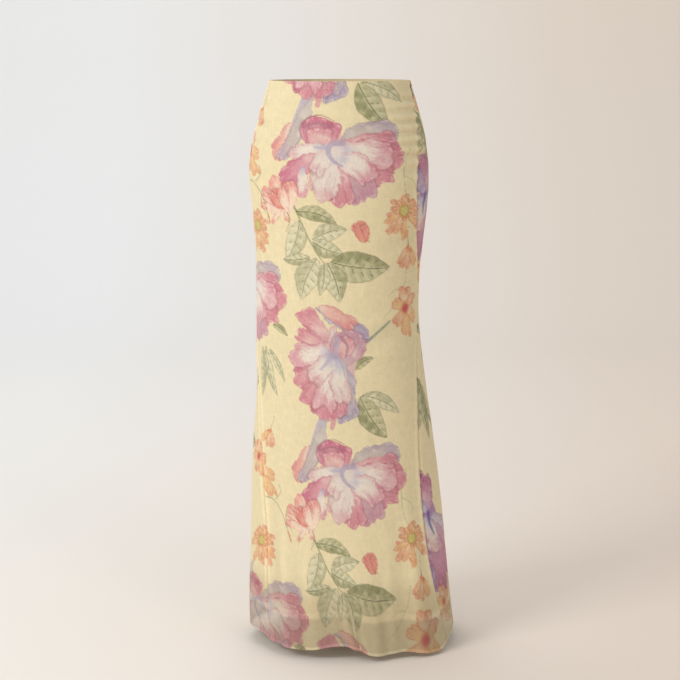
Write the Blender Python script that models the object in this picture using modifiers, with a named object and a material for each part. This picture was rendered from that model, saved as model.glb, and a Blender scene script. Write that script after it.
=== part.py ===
"""A lined, printed maxi skirt that keeps the hollow form in which it is worn.

Blender 4.5 script in metres. +Z is up, -Y is the front and +X is the wearer's left.
The origin is the centre of the waist opening, at its top edge. An angle round the
skirt starts at centre front and grows towards +X, so 90 is the wearer's left side.
"""

import math
from collections import namedtuple

import bmesh
import bpy
import numpy as np
from mathutils import Matrix, Vector

# ---- walls and gaps (metres) ----
OUTER_WALL = 0.0014
FACING_WALL = 0.0010
LINING_WALL = 0.0010
TAPE_WALL = 0.0010
CLEAR = 0.0003              # between pieces that are sewn together
SEAM_HALF_GAP = 0.00028     # each side of a seam, at the outside of the cloth
LINING_EASE = 0.0030        # how far the lining hangs inside the outer cloth at the hem
BESIDE_TAPE = 1.0           # a zip gap that leaves out the column beside the zip

# ---- lengths down from the waist edge ----
FACING_DEPTH = 0.0140
LINING_LENGTH = 0.9685
ZIP_LENGTH = 0.1900
HEM_EASES_FROM = 0.84       # rows below this follow the hem's rise and fall

# ---- side zip on the wearer's left ----
TAPE_HALF_WIDTH = 0.0104
TAPE_COLUMN = 0.0113        # width of the column beside the zip in every layer
TAPE_CLEAR = 0.0005
TAPE_SLOT_HALF_WIDTH = 0.0029
TAPE_TOP = 0.0020
ZIP_NOTCH_HALF = 0.0015     # the panels stand this far back from the seam by the slider
SLIDER_DOWN = 0.0085        # centre of the slider below the waist edge
SLIDER_PLATE = (0.0050, 0.0018, 0.0090)     # along the seam's tangent, through, up
SLIDER_NECK = (0.0016, 0.0036, 0.0052)      # from 0.1 mm outside the cloth into the plate
BAIL_RADII = (0.0011, 0.0020)
BAIL_WIDTH = 0.0014
HINGE_OUT = 0.0014          # hinge line outside the cloth
PULL_LENGTH = 0.0210
PULL_WIDTH = 0.0050
PULL_NECK_WIDTH = 0.0036
PULL_THICK = 0.0010
PULL_EYE_HALF_WIDTH = 0.0011
PULL_EYE = (0.0005, 0.0025)

# ---- grid of each panel ----
FRONT_COLUMNS = 20
BACK_COLUMNS = 28
ROW_DOWNS = (0.0, 0.014, 0.032, 0.060, 0.100, 0.145, 0.190, 0.240, 0.295, 0.350, 0.405,
             0.460, 0.520, 0.580, 0.640, 0.700, 0.760, 0.820, 0.875, 0.925, 0.9685, 1.0, 1.026)

# One row for each level: half the width, how far the front and the back stand from the
# middle, how far the middle shifts to +X, and how far each side seam swings forward.
Section = namedtuple("Section", "level down half_width front back shift zip_seam plain_seam")
SECTIONS = (
    Section("waist",      0.000, 0.1274, 0.0900, 0.0960, -0.0003, 12.0,  0.0),
    Section("yoke",       0.050, 0.1431, 0.0985, 0.1095,  0.0000, 18.0, -2.0),
    Section("high hip",   0.100, 0.1566, 0.1055, 0.1205, -0.0003, 25.5, -4.0),
    Section("hip",        0.150, 0.1645, 0.1090, 0.1280, -0.0022, 29.5, -5.0),
    Section("seat",       0.200, 0.1634, 0.1090, 0.1300, -0.0009, 31.0, -5.0),
    Section("under seat", 0.250, 0.1585, 0.1070, 0.1260, -0.0007, 27.5, -5.0),
    Section("thigh",      0.300, 0.1531, 0.1060, 0.1200, -0.0016, 22.0, -4.0),
    Section("low thigh",  0.360, 0.1498, 0.1070, 0.1130, -0.0038, 12.0, -2.0),
    Section("knee",       0.430, 0.1497, 0.1100, 0.1080, -0.0040, 14.0,  0.0),
    Section("under knee", 0.500, 0.1532, 0.1150, 0.1080, -0.0004, 23.0,  6.0),
    Section("calf",       0.580, 0.1592, 0.1205, 0.1130,  0.0040, 29.5, 19.0),
    Section("low calf",   0.660, 0.1686, 0.1270, 0.1220,  0.0064, 35.5, 27.0),
    Section("shin",       0.740, 0.1758, 0.1345, 0.1350,  0.0102, 38.5, 31.0),
    Section("low shin",   0.820, 0.1810, 0.1420, 0.1500,  0.0146, 39.5, 34.5),
    Section("ankle",      0.900, 0.1856, 0.1495, 0.1660,  0.0175, 37.0, 34.5),
    Section("lining hem", 0.960, 0.1895, 0.1555, 0.1780,  0.0201, 32.5, 34.0),
    Section("hem",        1.026, 0.1927, 0.1610, 0.1900,  0.0250, 28.0, 36.0),
)

# One row for each soft fold that runs down to the hem. The depth is out (+) or in (-)
# at the hem, and the angle slides from the top of the fold to the hem.
Fold = namedtuple("Fold", "name top_angle hem_angle starts half_width depth")
FOLDS = (
    Fold("left flank trough",    -52, -64, 0.70, 11, -0.0080),
    Fold("left front swell",     -24, -32, 0.66, 16,  0.0040),
    Fold("front trough",          -9,  -4, 0.72, 10, -0.0110),
    Fold("front ridge",           -5,  11, 0.80,  9,  0.0110),
    Fold("right front trough",    24,  27, 0.68, 10, -0.0070),
    Fold("right front swell",     38,  46, 0.70, 13,  0.0180),
    Fold("zip side trough",       92,  96, 0.66, 12, -0.0050),
    Fold("back flute one",       112, 116, 0.58, 14,  0.0090),
    Fold("back trough one",      137, 141, 0.62, 12, -0.0080),
    Fold("back flute two",       163, 166, 0.56, 13,  0.0110),
    Fold("back trough two",      188, 190, 0.60, 13, -0.0090),
    Fold("back flute three",     214, 216, 0.57, 14,  0.0100),
    Fold("back trough three",    238, 240, 0.64, 12, -0.0070),
    Fold("plain side flute",     262, 264, 0.66, 12,  0.0040),
)

# How far each place on the hem hangs below (+) or above (-) the nominal length.
HemPoint = namedtuple("HemPoint", "angle drop")
HEM = (
    HemPoint(-90, -0.006),
    HemPoint(-68, -0.007),
    HemPoint(-50, -0.002),
    HemPoint(-30, 0.002),
    HemPoint(-5, -0.008),
    HemPoint(10, 0.007),
    HemPoint(29, 0.006),
    HemPoint(46, 0.013),
    HemPoint(58, 0.009),
    HemPoint(70, -0.004),
    HemPoint(90, -0.006),
    HemPoint(135, 0.004),
    HemPoint(180, 0.008),
    HemPoint(225, 0.004),
)

Colour = namedtuple("Colour", "rgb rough metal")
PRINTED_CREPE = Colour((0.80, 0.68, 0.45), 0.75, 0.0)
CREAM_LINING = Colour((0.86, 0.78, 0.60), 0.80, 0.0)
CREAM_TAPE = Colour((0.70, 0.60, 0.44), 0.85, 0.0)
DULL_METAL = Colour((0.42, 0.38, 0.32), 0.38, 1.0)


# ---------------------------------------------------------------- form
def smooth(x, xs, ys):
    """A smooth curve through the points (xs, ys), read at x."""
    xs, ys = np.asarray(xs, float), np.asarray(ys, float)
    slopes = np.gradient(ys, xs)
    i = int(np.clip(np.searchsorted(xs, x) - 1, 0, len(xs) - 2))
    step = xs[i + 1] - xs[i]
    t = min(max((x - xs[i]) / step, 0.0), 1.0)
    a, b = ys[i], ys[i + 1]
    p, q = slopes[i] * step, slopes[i + 1] * step
    return a + p * t + (3 * (b - a) - 2 * p - q) * t * t + (p + q - 2 * (b - a)) * t ** 3


def section_at(down):
    downs = [s.down for s in SECTIONS]
    return {name: smooth(down, downs, [getattr(s, name) for s in SECTIONS])
            for name in ("half_width", "front", "back", "shift", "zip_seam", "plain_seam")}


def angle_between(a, b):
    return (a - b + 180) % 360 - 180


def fold_out(angle, down):
    """How far the folds move the cloth outwards here."""
    out = 0.0
    for fold in FOLDS:
        run = (down - fold.starts) / (1.026 - fold.starts)
        if run <= 0:
            continue
        centre = fold.top_angle + (fold.hem_angle - fold.top_angle) * run
        off = angle_between(angle, centre) / fold.half_width
        out += fold.depth * min(run, 1.0) ** 1.4 * math.exp(-off * off)
    return out


def hem_drop(angle):
    angles = [p.angle for p in HEM] + [HEM[0].angle + 360]
    drops = [p.drop for p in HEM] + [HEM[0].drop]
    return smooth((angle + 90) % 360 - 90, angles, drops)


def hem_share(down):
    return max(0.0, (down - HEM_EASES_FROM) / (1.026 - HEM_EASES_FROM))


def flare(turn, down):
    """How fast the form widens with the height, as a slope, at this turn round it."""
    upper, lower = section_at(down - 0.004), section_at(down + 0.004)
    side = "front" if math.cos(turn) > 0 else "back"
    across = (lower["half_width"] - upper["half_width"]) * abs(math.sin(turn))
    deep = (lower[side] - upper[side]) * abs(math.cos(turn))
    return (across + deep) / 0.008


def form_point(angle, down, inside=0.0, lining=False):
    """A point on the skirt's form, `inside` metres within the outer face."""
    section = section_at(down)
    turn = math.radians(angle)
    depth = section["front"] if math.cos(turn) > 0 else section["back"]
    x, y = section["half_width"] * math.sin(turn), -depth * math.cos(turn)
    normal = Vector((x / section["half_width"] ** 2, y / depth ** 2)).normalized()
    out = fold_out(angle, down)
    if lining:
        out = min(out, 0.45 * out)
    z = -down - hem_drop(angle) * hem_share(down)
    out -= inside * math.hypot(1.0, flare(turn, down))
    return Vector((section["shift"] + x + normal.x * out, y + normal.y * out, z))


def seam_angle(seam, down):
    """The zip seam's angle, or the plain seam's, as they swing forward down the skirt."""
    section = section_at(down)
    return 90 - section["zip_seam"] if seam == "zip" else 270 + section["plain_seam"]


def beside(angle, down, distance):
    """The angle that lies this far round from another one, measured along the cloth."""
    one = form_point(angle - 0.5, down)
    two = form_point(angle + 0.5, down)
    return angle + distance / math.hypot(two.x - one.x, two.y - one.y)


def panel_row(panel, down, inside=0.0, zip_gap=SEAM_HALF_GAP, lining=False):
    """A row of points across a panel, from its plain seam round to the zip seam.

    The column beside the zip is as wide as half the zip's tape, so what lies on a panel
    shares its columns. A row with a zip gap wider than that leaves this column out.
    """
    forward = -1 if panel == "front" else 1
    zip_edge = seam_angle("zip", down)
    plain_edge = seam_angle("plain", down) - (360 if panel == "front" else 0)
    columns = FRONT_COLUMNS if panel == "front" else BACK_COLUMNS
    first = beside(plain_edge, down, -forward * SEAM_HALF_GAP)
    last = beside(zip_edge, down, forward * TAPE_COLUMN)
    angles = list(np.linspace(first, last, columns))
    if zip_gap < TAPE_COLUMN:
        angles.append(beside(zip_edge, down, forward * zip_gap))
    points = [form_point(a, down, inside, lining) for a in angles]
    return points if panel == "front" else points[::-1]


def tape_row(down, inside):
    """A row across the zip tape, made from the panels' own points beside the seam."""
    row = []
    for panel, distances in (("front", (TAPE_HALF_WIDTH, TAPE_SLOT_HALF_WIDTH)),
                             ("back", (TAPE_SLOT_HALF_WIDTH, TAPE_HALF_WIDTH))):
        points = panel_row(panel, down, inside)
        seam, next_one = points[-1:-3:-1] if panel == "front" else points[:2]
        for distance in distances:
            share = (distance - SEAM_HALF_GAP) / (next_one - seam).length
            row.append(seam.lerp(next_one, share))
    return row


# ---------------------------------------------------------------- building
def collection(name):
    made = bpy.data.collections.new(name)
    bpy.context.scene.collection.children.link(made)
    return made


def material(name, colour):
    made = bpy.data.materials.new(name)
    made.use_nodes = True
    shader = made.node_tree.nodes["Principled BSDF"]
    shader.inputs["Base Color"].default_value = (*colour.rgb, 1.0)
    shader.inputs["Roughness"].default_value = colour.rough
    shader.inputs["Metallic"].default_value = colour.metal
    made.diffuse_color = (*colour.rgb, 1.0)
    return made


def solidify(obj, wall):
    thick = obj.modifiers.new("Wall", "SOLIDIFY")
    thick.thickness = wall
    thick.offset = -1.0
    thick.use_even_offset = True
    thick.use_rim = True


def cloth(name, rows, wall, colour, leave_out=()):
    """A piece of cloth lofted through rows of points, with its outer face outwards."""
    mesh = bpy.data.meshes.new(name)
    form = bmesh.new()
    grid = [[form.verts.new(point) for point in row] for row in rows]
    for r in range(len(grid) - 1):
        for c in range(len(grid[r]) - 1):
            if (r, c) not in leave_out:
                form.faces.new((grid[r + 1][c], grid[r + 1][c + 1], grid[r][c + 1], grid[r][c]))
    loose = [v for v in form.verts if not v.link_faces]
    bmesh.ops.delete(form, geom=loose, context="VERTS")
    form.to_mesh(mesh)
    form.free()
    mesh.shade_smooth()
    mesh.materials.append(material(name, colour))
    obj = bpy.data.objects.new(name, mesh)
    skirt.objects.link(obj)
    solidify(obj, wall)
    return obj


def outer_gap(down):
    return ZIP_NOTCH_HALF if down <= FACING_DEPTH else SEAM_HALF_GAP


def outer_panel(panel):
    rows = [panel_row(panel, down, zip_gap=outer_gap(down)) for down in ROW_DOWNS]
    return cloth(panel + "_panel", rows, OUTER_WALL, PRINTED_CREPE)


def facing(panel):
    """It stops beside the zip tape."""
    rows = [panel_row(panel, down, OUTER_WALL + CLEAR, BESIDE_TAPE)
            for down in (0.0, FACING_DEPTH)]
    return cloth("waist_facing_" + panel, rows, FACING_WALL, PRINTED_CREPE)


def lining(panel):
    """It stops beside the zip tape, and closes on the seam below it."""
    rows = []
    leave_out = set()
    for down in [FACING_DEPTH + CLEAR] + [d for d in ROW_DOWNS if 0.03 < d <= LINING_LENGTH]:
        ease = 1.3 * CLEAR + LINING_EASE * min(1.0, down / 0.5)
        if down < ZIP_LENGTH:
            leave_out.add((len(rows), FRONT_COLUMNS - 1 if panel == "front" else 0))
        rows.append(panel_row(panel, down, OUTER_WALL + ease, lining=True))
    return cloth("lining_" + panel, rows, LINING_WALL, CREAM_LINING, leave_out)


def zip_tape():
    """One strip behind the seam, slotted at the top to take the slider."""
    downs = [TAPE_TOP, 0.0138] + [d for d in ROW_DOWNS if 0.03 < d < ZIP_LENGTH]
    rows = [tape_row(down, OUTER_WALL + TAPE_CLEAR) for down in downs + [ZIP_LENGTH - CLEAR]]
    return cloth("zip_tape", rows, TAPE_WALL, CREAM_TAPE, leave_out={(0, 1)})


def zip_frame():
    """Axes at the slider: x runs round the seam, y out of the cloth and z up along it."""
    seam = seam_angle("zip", SLIDER_DOWN)
    here = form_point(seam, SLIDER_DOWN)
    above = form_point(seam_angle("zip", 0.0), 0.0)
    below = form_point(seam_angle("zip", 0.030), 0.030)
    side = form_point(seam - 1, SLIDER_DOWN) - form_point(seam + 1, SLIDER_DOWN)
    up = (above - below).normalized()
    across = (side - up * side.dot(up)).normalized()
    out = up.cross(across)
    return Matrix.Translation(here) @ Matrix((across, out, up)).transposed().to_4x4()


def primitive(name, at, scale=None, rotation=None):
    obj = bpy.context.object
    obj.name = name
    obj.matrix_world = zip_axes @ Matrix.Translation(at) @ (rotation or Matrix.Identity(4))
    if scale:
        obj.data.transform(Matrix.Diagonal((*scale, 1.0)))
    for owner in list(obj.users_collection):
        owner.objects.unlink(obj)
    return obj


def hide_cutter(obj):
    cutters.objects.link(obj)
    obj.hide_render = True
    obj.display_type = "WIRE"


def join_with(obj, other, operation):
    step = obj.modifiers.new(other.name, "BOOLEAN")
    step.operation = operation
    step.object = other
    step.solver = "EXACT"


def zip_slider():
    """A plate behind the panels, a neck through the notch, and a bail outside them."""
    sideways = Matrix.Rotation(math.radians(90), 4, "Y")
    back = -OUTER_WALL - 0.0004
    bpy.ops.mesh.primitive_cube_add(size=1)
    plate = primitive("zip_slider", (0, back - SLIDER_PLATE[1] / 2, 0), SLIDER_PLATE)
    bpy.ops.mesh.primitive_cube_add(size=1)
    neck = primitive("slider_neck", (0, 0.0001 - SLIDER_NECK[1] / 2, 0), SLIDER_NECK)
    bpy.ops.mesh.primitive_cylinder_add(vertices=20, radius=BAIL_RADII[1], depth=BAIL_WIDTH)
    bail = primitive("slider_bail", (0, HINGE_OUT, 0), rotation=sideways)
    bpy.ops.mesh.primitive_cylinder_add(vertices=20, radius=BAIL_RADII[0], depth=0.006)
    hole = primitive("bail_hole", (0, HINGE_OUT, 0), rotation=sideways)
    skirt.objects.link(plate)
    soften = plate.modifiers.new("Soften", "BEVEL")
    soften.width = 0.0004
    soften.segments = 2
    for other, operation in ((neck, "UNION"), (bail, "UNION"), (hole, "DIFFERENCE")):
        hide_cutter(other)
        join_with(plate, other, operation)
    plate.data.materials.append(material("zip_slider", DULL_METAL))
    return plate


def outline(half_width_at, top, bottom, steps):
    """Points round a flat shape that narrows and widens with height, as a closed loop."""
    heights = [top + (bottom - top) * 0.5 * (1 - math.cos(math.pi * i / steps))
               for i in range(steps + 1)]
    right = [(half_width_at(h), h) for h in heights]
    return right + [(-w, h) for w, h in reversed(right)]


def zip_pull():
    """A drop-shaped tab whose top bar runs through the bail."""
    top, bottom = PULL_EYE[0], -PULL_LENGTH + PULL_EYE[0]

    def half_width(h):
        run = (top - h) / (top - bottom)
        body = PULL_NECK_WIDTH / 2 + (PULL_WIDTH - PULL_NECK_WIDTH) / 2 * math.sin(run * 1.9)
        end = min(1.0, max(0.0, (h - bottom) / (PULL_WIDTH / 2)))
        start = min(1.0, (top - h) / 0.0006)
        round_end = math.sqrt(max(0.0, 1 - (1 - end) ** 2))
        return max(0.0004, body * max(0.12, round_end) * (0.7 + 0.3 * start))

    eye_low, eye_high, w = -PULL_EYE[1], -PULL_EYE[0], PULL_EYE_HALF_WIDTH
    eye = [(-w, eye_low), (w, eye_low), (w, eye_high), (-w, eye_high)]
    shape = bpy.data.curves.new("zip_pull", "CURVE")
    shape.dimensions = "2D"
    shape.fill_mode = "BOTH"
    shape.extrude = PULL_THICK / 2
    for loop in (outline(half_width, top, bottom, 14), eye):
        spline = shape.splines.new("POLY")
        spline.points.add(len(loop) - 1)
        for point, (x, y) in zip(spline.points, loop):
            point.co = (x, y, 0, 1)
        spline.use_cyclic_u = True
    shape.materials.append(material("zip_pull", DULL_METAL))
    pull = bpy.data.objects.new("zip_pull", shape)
    skirt.objects.link(pull)
    stand = Matrix.Rotation(math.radians(90), 4, "X")
    pull.matrix_world = zip_axes @ Matrix.Translation((0, HINGE_OUT, 0)) @ stand
    return pull


for old in list(bpy.data.objects):
    bpy.data.objects.remove(old, do_unlink=True)

skirt = collection("maxi_skirt")
cutters = collection("cutters")
cutters.hide_render = True

for side in ("front", "back"):
    outer_panel(side)
    facing(side)
    lining(side)
zip_tape()
zip_axes = zip_frame()
zip_slider()
zip_pull()
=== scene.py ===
"""The looks of a printed maxi skirt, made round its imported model.

Metres, +Z up, -Y the front, +X the wearer's left. The waist edge is at height 0.
"""

import math

import bpy
import numpy as np
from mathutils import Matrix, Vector
from mathutils.bvhtree import BVHTree


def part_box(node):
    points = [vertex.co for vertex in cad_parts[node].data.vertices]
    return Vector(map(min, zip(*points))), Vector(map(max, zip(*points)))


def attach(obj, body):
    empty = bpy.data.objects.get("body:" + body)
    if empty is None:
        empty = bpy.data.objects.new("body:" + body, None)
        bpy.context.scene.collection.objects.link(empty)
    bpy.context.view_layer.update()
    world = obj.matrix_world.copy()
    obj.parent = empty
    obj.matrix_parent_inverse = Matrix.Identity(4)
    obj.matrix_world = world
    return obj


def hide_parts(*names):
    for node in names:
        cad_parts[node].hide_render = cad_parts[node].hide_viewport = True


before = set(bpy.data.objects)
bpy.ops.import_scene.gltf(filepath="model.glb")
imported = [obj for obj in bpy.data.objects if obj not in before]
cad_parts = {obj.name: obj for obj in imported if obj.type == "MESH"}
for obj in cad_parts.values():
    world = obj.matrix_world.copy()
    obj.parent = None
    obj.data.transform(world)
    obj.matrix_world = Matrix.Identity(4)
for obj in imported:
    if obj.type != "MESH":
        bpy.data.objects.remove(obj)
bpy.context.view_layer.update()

# ------------------------------------------------------------------ sizes
HEM_EASES_FROM = 0.84       # metres down, where the cloth starts to follow the hem's rise and fall
ABOVE_ANY_HEM = -0.93       # a height that is above the lowest edge all round
HEM_MIDDLE = 0.018          # the middle of the hem, across
ANGLE_STEP = 2.0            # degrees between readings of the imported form
READ_LEVELS = 84
CAST_FROM = 0.5             # metres out from the middle, where a ray starts inwards
WALL = 0.0007               # the crepe as it looks, thinner than its solid
LINING_WALL = 0.0006
SEAM_GAP = 0.00028          # from a seam's middle to each panel's edge
SHEER_FROM = 0.085          # above the lining's hem, where the crepe starts to let light by
SHEER_FULL = 0.012          # above the lining's hem, where it lets most by
FRONT_GRID = (504, 180)     # rows and columns of the outer face
BACK_GRID = (400, 220)
LINING_GRID = (160, 64)
FACING_GRID = (8, 180)
COARSE = 4                  # the inner face has one row or column for this many
PRINT_REPEAT = 0.588        # metres of cloth from a motif to the next like it
PRINT_WIDE = 1.12           # the front's print is spread this much at the waist,
PRINT_DRAWS_IN = 0.267      # and loses this share of it with each metre down
FACING_LINE = 0.0120        # the stitched line under the waist edge
FACING_DEPTH = 0.0140
ZIP_LENGTH = 0.190
TAPE_HALF_WIDTH = 0.0104
HEM_TURN = 0.0045           # depth of the narrow hem
SLANT_RADIUS = 0.15         # what a crease's slant is measured on, whatever the girth
COIL_FROM = 0.022           # metres down to the first tooth
COIL_PITCH = 0.00125
COIL_RADIUS = 0.00062
COIL_DEPTH = 0.00335        # in from the face of the crepe


# ------------------------------------------------------------------ reading the form
def tree_of(*names):
    """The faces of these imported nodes, as one tree for casting rays at."""
    points, faces = [], []
    for name in names:
        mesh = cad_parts[name].data
        start = len(points)
        points += [v.co.copy() for v in mesh.vertices]
        faces += [[start + i for i in p.vertices] for p in mesh.polygons]
    return BVHTree.FromPolygons(points, faces)


def blur(table, along_rows, along_angles):
    """The table smoothed down the skirt and, as a ring, round it."""
    for sigma, axis, mode in ((along_rows, 0, "edge"), (along_angles, 1, "wrap")):
        if sigma <= 0:
            continue
        reach = int(math.ceil(3 * sigma))
        weights = np.exp(-0.5 * (np.arange(-reach, reach + 1) / sigma) ** 2)
        weights /= weights.sum()
        pad = [(0, 0), (0, 0)]
        pad[axis] = (reach, reach)
        wide = np.pad(table, pad, mode=mode)
        table = sum(w * np.take(wide, np.arange(i, i + table.shape[axis]), axis=axis)
                    for i, w in enumerate(weights))
    return table


def read_table(table, row, column, ring=True):
    """The table read between its cells, smoothly, at fractional rows and columns."""
    row, column = np.broadcast_arrays(np.asarray(row, float), np.asarray(column, float))
    rows, columns = table.shape
    r0, c0 = np.floor(row).astype(int), np.floor(column).astype(int)
    fr, fc = row - r0, column - c0

    def weights(f):
        return (0.5 * (-f + 2 * f * f - f ** 3), 0.5 * (2 - 5 * f * f + 3 * f ** 3),
                0.5 * (f + 4 * f * f - 3 * f ** 3), 0.5 * (f ** 3 - f * f))

    out = np.zeros(row.shape)
    for i, wr in enumerate(weights(fr)):
        r = np.clip(r0 + i - 1, 0, rows - 1)
        for j, wc in enumerate(weights(fc)):
            c = (c0 + j - 1) % columns if ring else np.clip(c0 + j - 1, 0, columns - 1)
            out += wr * wc * table[r, c]
    return out


def fill_gaps(line):
    """A ring of numbers with its missing ones filled from their neighbours."""
    known = np.where(~np.isnan(line))[0]
    if len(known) == 0:
        return line
    n = len(line)
    return np.interp(np.arange(n), np.concatenate([known - n, known, known + n]), np.tile(line[known], 3))


class Layer:
    """The outer face of one layer of cloth, read from its packed front and back."""

    def __init__(self, front, back, top):
        self.whole, self.front_tree = tree_of(front, back), tree_of(front)
        self.top = top
        self.angles = np.arange(0, 360, ANGLE_STEP)
        self.levels = np.linspace(0, 1, READ_LEVELS)
        low = min(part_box(front)[0][2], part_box(back)[0][2])
        self.hem = np.array([self.find_hem(a, low) for a in self.angles])
        self.hem = blur(self.hem[None, :], 0, 1.4)[0]
        self.length = -float(np.median(self.hem)) if top > -0.001 else -float(self.hem.mean())
        self.middle = np.array([self.find_middle(-self.top_down(t)) for t in self.levels])
        self.middle = blur(self.middle[:, None], 1.5, 0)[:, 0]
        radius = np.array([[self.cast(self.whole, a, self.height(t, a, exact=True), m)
                            for a in self.angles] for t, m in zip(self.levels, self.middle)])
        radius = np.array([fill_gaps(r) for r in radius])
        self.radius = blur(radius, 0.8, 1.35)
        self.zip_seam = self.find_seam(20, 150)
        self.plain_seam = self.find_seam(-20, -150)
        steps = np.hypot(self.radius * math.radians(ANGLE_STEP), np.gradient(self.radius, axis=1))
        self.arc = np.cumsum(steps, axis=1) - 0.5 * (steps + steps[:, :1])

    def top_down(self, t):
        """Metres below the waist edge, at this share of the layer's length."""
        return -self.top + t * (self.length + self.top)

    def cast(self, tree, angle, z, middle):
        """How far the cloth is from the middle in this direction, by two rays a little apart."""
        best = math.nan
        for off in (-0.25, 0.25):
            turn = math.radians(angle + off)
            way = Vector((math.sin(turn), -math.cos(turn), 0))
            hit = tree.ray_cast(Vector((middle, 0, z)) + way * CAST_FROM, -way, CAST_FROM - 0.03)
            if hit[0] is not None:
                best = np.nanmax([best, CAST_FROM - hit[3]])
        return best

    def find_hem(self, angle, low):
        """The height of the lowest edge in this direction, by halving."""
        above, below = ABOVE_ANY_HEM, low - 0.004
        for _ in range(13):
            z = 0.5 * (above + below)
            if math.isnan(self.cast(self.whole, angle, z, HEM_MIDDLE)):
                below = z
            else:
                above = z
        return above

    def find_middle(self, z):
        """Halfway between the two sides at this height."""
        z = min(z, self.top - 0.0006)
        z = max(z, self.hem.max() + 0.002)
        right = self.cast(self.whole, 90, z, 0.0)
        left = self.cast(self.whole, 270, z, 0.0)
        return 0.0 if math.isnan(right + left) else 0.5 * (right - left)

    def height(self, t, angle, exact=False):
        """The height of the cloth at this share of its length, as the hem rises and falls."""
        down = self.top_down(np.asarray(t, float))
        hem = read_table(self.hem[None, :], 0, np.asarray(angle) % 360 / ANGLE_STEP)
        share = np.clip((down - HEM_EASES_FROM) / (self.length - HEM_EASES_FROM), 0, 1)
        z = -down + (hem + self.length) * share
        if exact:
            z = np.clip(z, hem + 0.0012, self.top - 0.0008)
            return float(z)
        return z

    def find_seam(self, inside, outside):
        """The edge of the front at each level, between an angle on it and one off it."""
        found = []
        for t, middle in zip(self.levels, self.middle):
            a, b = float(inside), float(outside)
            for _ in range(13):
                mid = 0.5 * (a + b)
                if math.isnan(self.cast(self.front_tree, mid, self.height(t, mid, exact=True), middle)):
                    b = mid
                else:
                    a = mid
            found.append(a)
        return blur(np.array(found)[:, None], 1.0, 0)[:, 0]

    def seam(self, which, t):
        table = self.zip_seam if which == "zip" else self.plain_seam
        return np.interp(t, self.levels, table)

    def from_seam(self, which, t, angle, radius):
        """Metres round from a seam."""
        return np.abs(np.radians((angle - self.seam(which, t) + 180) % 360 - 180)) * radius

    def radius_at(self, t, angle):
        row, column = np.asarray(t) * (READ_LEVELS - 1), np.asarray(angle) % 360 / ANGLE_STEP
        return read_table(self.radius, row, column)

    def at(self, t, angle, out=0.0):
        """Points on the layer, moved out from its face."""
        radius = self.radius_at(t, angle) + out
        middle = np.interp(t, self.levels, self.middle)
        turn = np.radians(angle)
        return np.stack(np.broadcast_arrays(middle + radius * np.sin(turn), -radius * np.cos(turn),
                                            self.height(t, angle)), axis=-1)

    def across(self, t, angle):
        """Metres of cloth from centre front round to this angle, from 0 to the whole girth."""
        row, turn = np.asarray(t) * (READ_LEVELS - 1), np.asarray(angle, float) / ANGLE_STEP
        whole = np.interp(t, self.levels, self.arc[:, -1] + self.arc[:, 1])
        laps = np.floor(turn / len(self.angles))
        rest = turn - laps * len(self.angles)
        last = len(self.angles) - 1.0
        arc = read_table(self.arc, row, np.minimum(rest, last), ring=False)
        arc = arc + (whole - arc) * np.clip(rest - last, 0, 1)
        return arc + laps * whole


# ------------------------------------------------------------------ the print
# Colours here are display colours, 0 to 255. Flowers are drawn in metres about their own middle, y up.
GROUND = (239, 223, 181)
INK = (132, 106, 104)
LEAF_INK = (104, 102, 74)
WHITE = (246, 236, 216)
LOOKS = {   # heart of the petal, its middle, its margin, its streaks, and how far in the margin reaches
    "rose": ((216, 164, 166), (228, 178, 176), (212, 134, 146), (186, 96, 118), 0.45),
    "cup": ((190, 142, 150), (230, 186, 178), (216, 144, 152), (184, 100, 120), 0.62),
    "fan": ((196, 190, 204), (240, 228, 212), (220, 154, 164), (194, 110, 132), 0.55),
    "pale": ((192, 188, 202), (234, 222, 208), (222, 176, 174), (196, 132, 146), 0.66),
    "stripe": ((232, 204, 192), (222, 160, 168), (206, 116, 138), (178, 82, 110), 0.40),
    "lilac": ((188, 178, 190), (190, 178, 190), (178, 160, 182), (146, 124, 154), 0.55),
    "mauve": ((208, 184, 184), (210, 172, 176), (202, 148, 162), (170, 112, 140), 0.55),
    "grey": ((204, 194, 186), (204, 190, 180), (190, 170, 180), (156, 134, 150), 0.66),
    "peach": ((236, 208, 190), (236, 188, 170), (222, 144, 140), (194, 104, 112), 0.50),
    "tulip": ((248, 226, 200), (246, 218, 194), (230, 146, 136), (208, 110, 106), 0.66),
    "orange": ((222, 144, 98), (238, 198, 154), (228, 158, 122), (200, 114, 84), 0.50),
    "coral": ((226, 146, 124), (230, 158, 138), (220, 130, 118), (196, 96, 94), 0.40),
    "amber": ((214, 122, 98), (238, 198, 144), (230, 168, 120), (206, 120, 88), 0.50),
    "magenta": ((204, 178, 194), (206, 152, 172), (186, 110, 142), (146, 72, 110), 0.45),
    "violet": ((206, 196, 210), (188, 166, 192), (166, 132, 172), (122, 92, 140), 0.50),
    "iris": ((208, 202, 210), (210, 198, 206), (176, 134, 164), (130, 96, 140), 0.62),
    "sage": ((224, 218, 180), (208, 203, 162), (164, 162, 122), (102, 104, 74), 0.0),
    "dark sage": ((210, 204, 162), (190, 186, 144), (142, 142, 100), (84, 86, 58), 0.0),
    "pale sage": ((230, 222, 186), (222, 214, 176), (184, 180, 142), (118, 118, 86), 0.0),
}


def rise(low, high, value):
    """0 below low, 1 above high, and an easy curve between."""
    share = np.clip((value - low) / (high - low), 0, 1)
    return share * share * (3 - 2 * share)


def waves(value, count, seed):
    """Uneven waves from -1 to 1, about this many to each unit."""
    phase = np.random.RandomState(seed).rand(4) * 2 * math.pi
    total = sum(share * np.sin(2 * math.pi * count * step * value + phase[i])
                for i, (share, step) in enumerate(((0.5, 1.0), (0.3, 1.73), (0.25, 2.61), (0.15, 0.47))))
    return np.clip(total, -1, 1)


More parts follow.
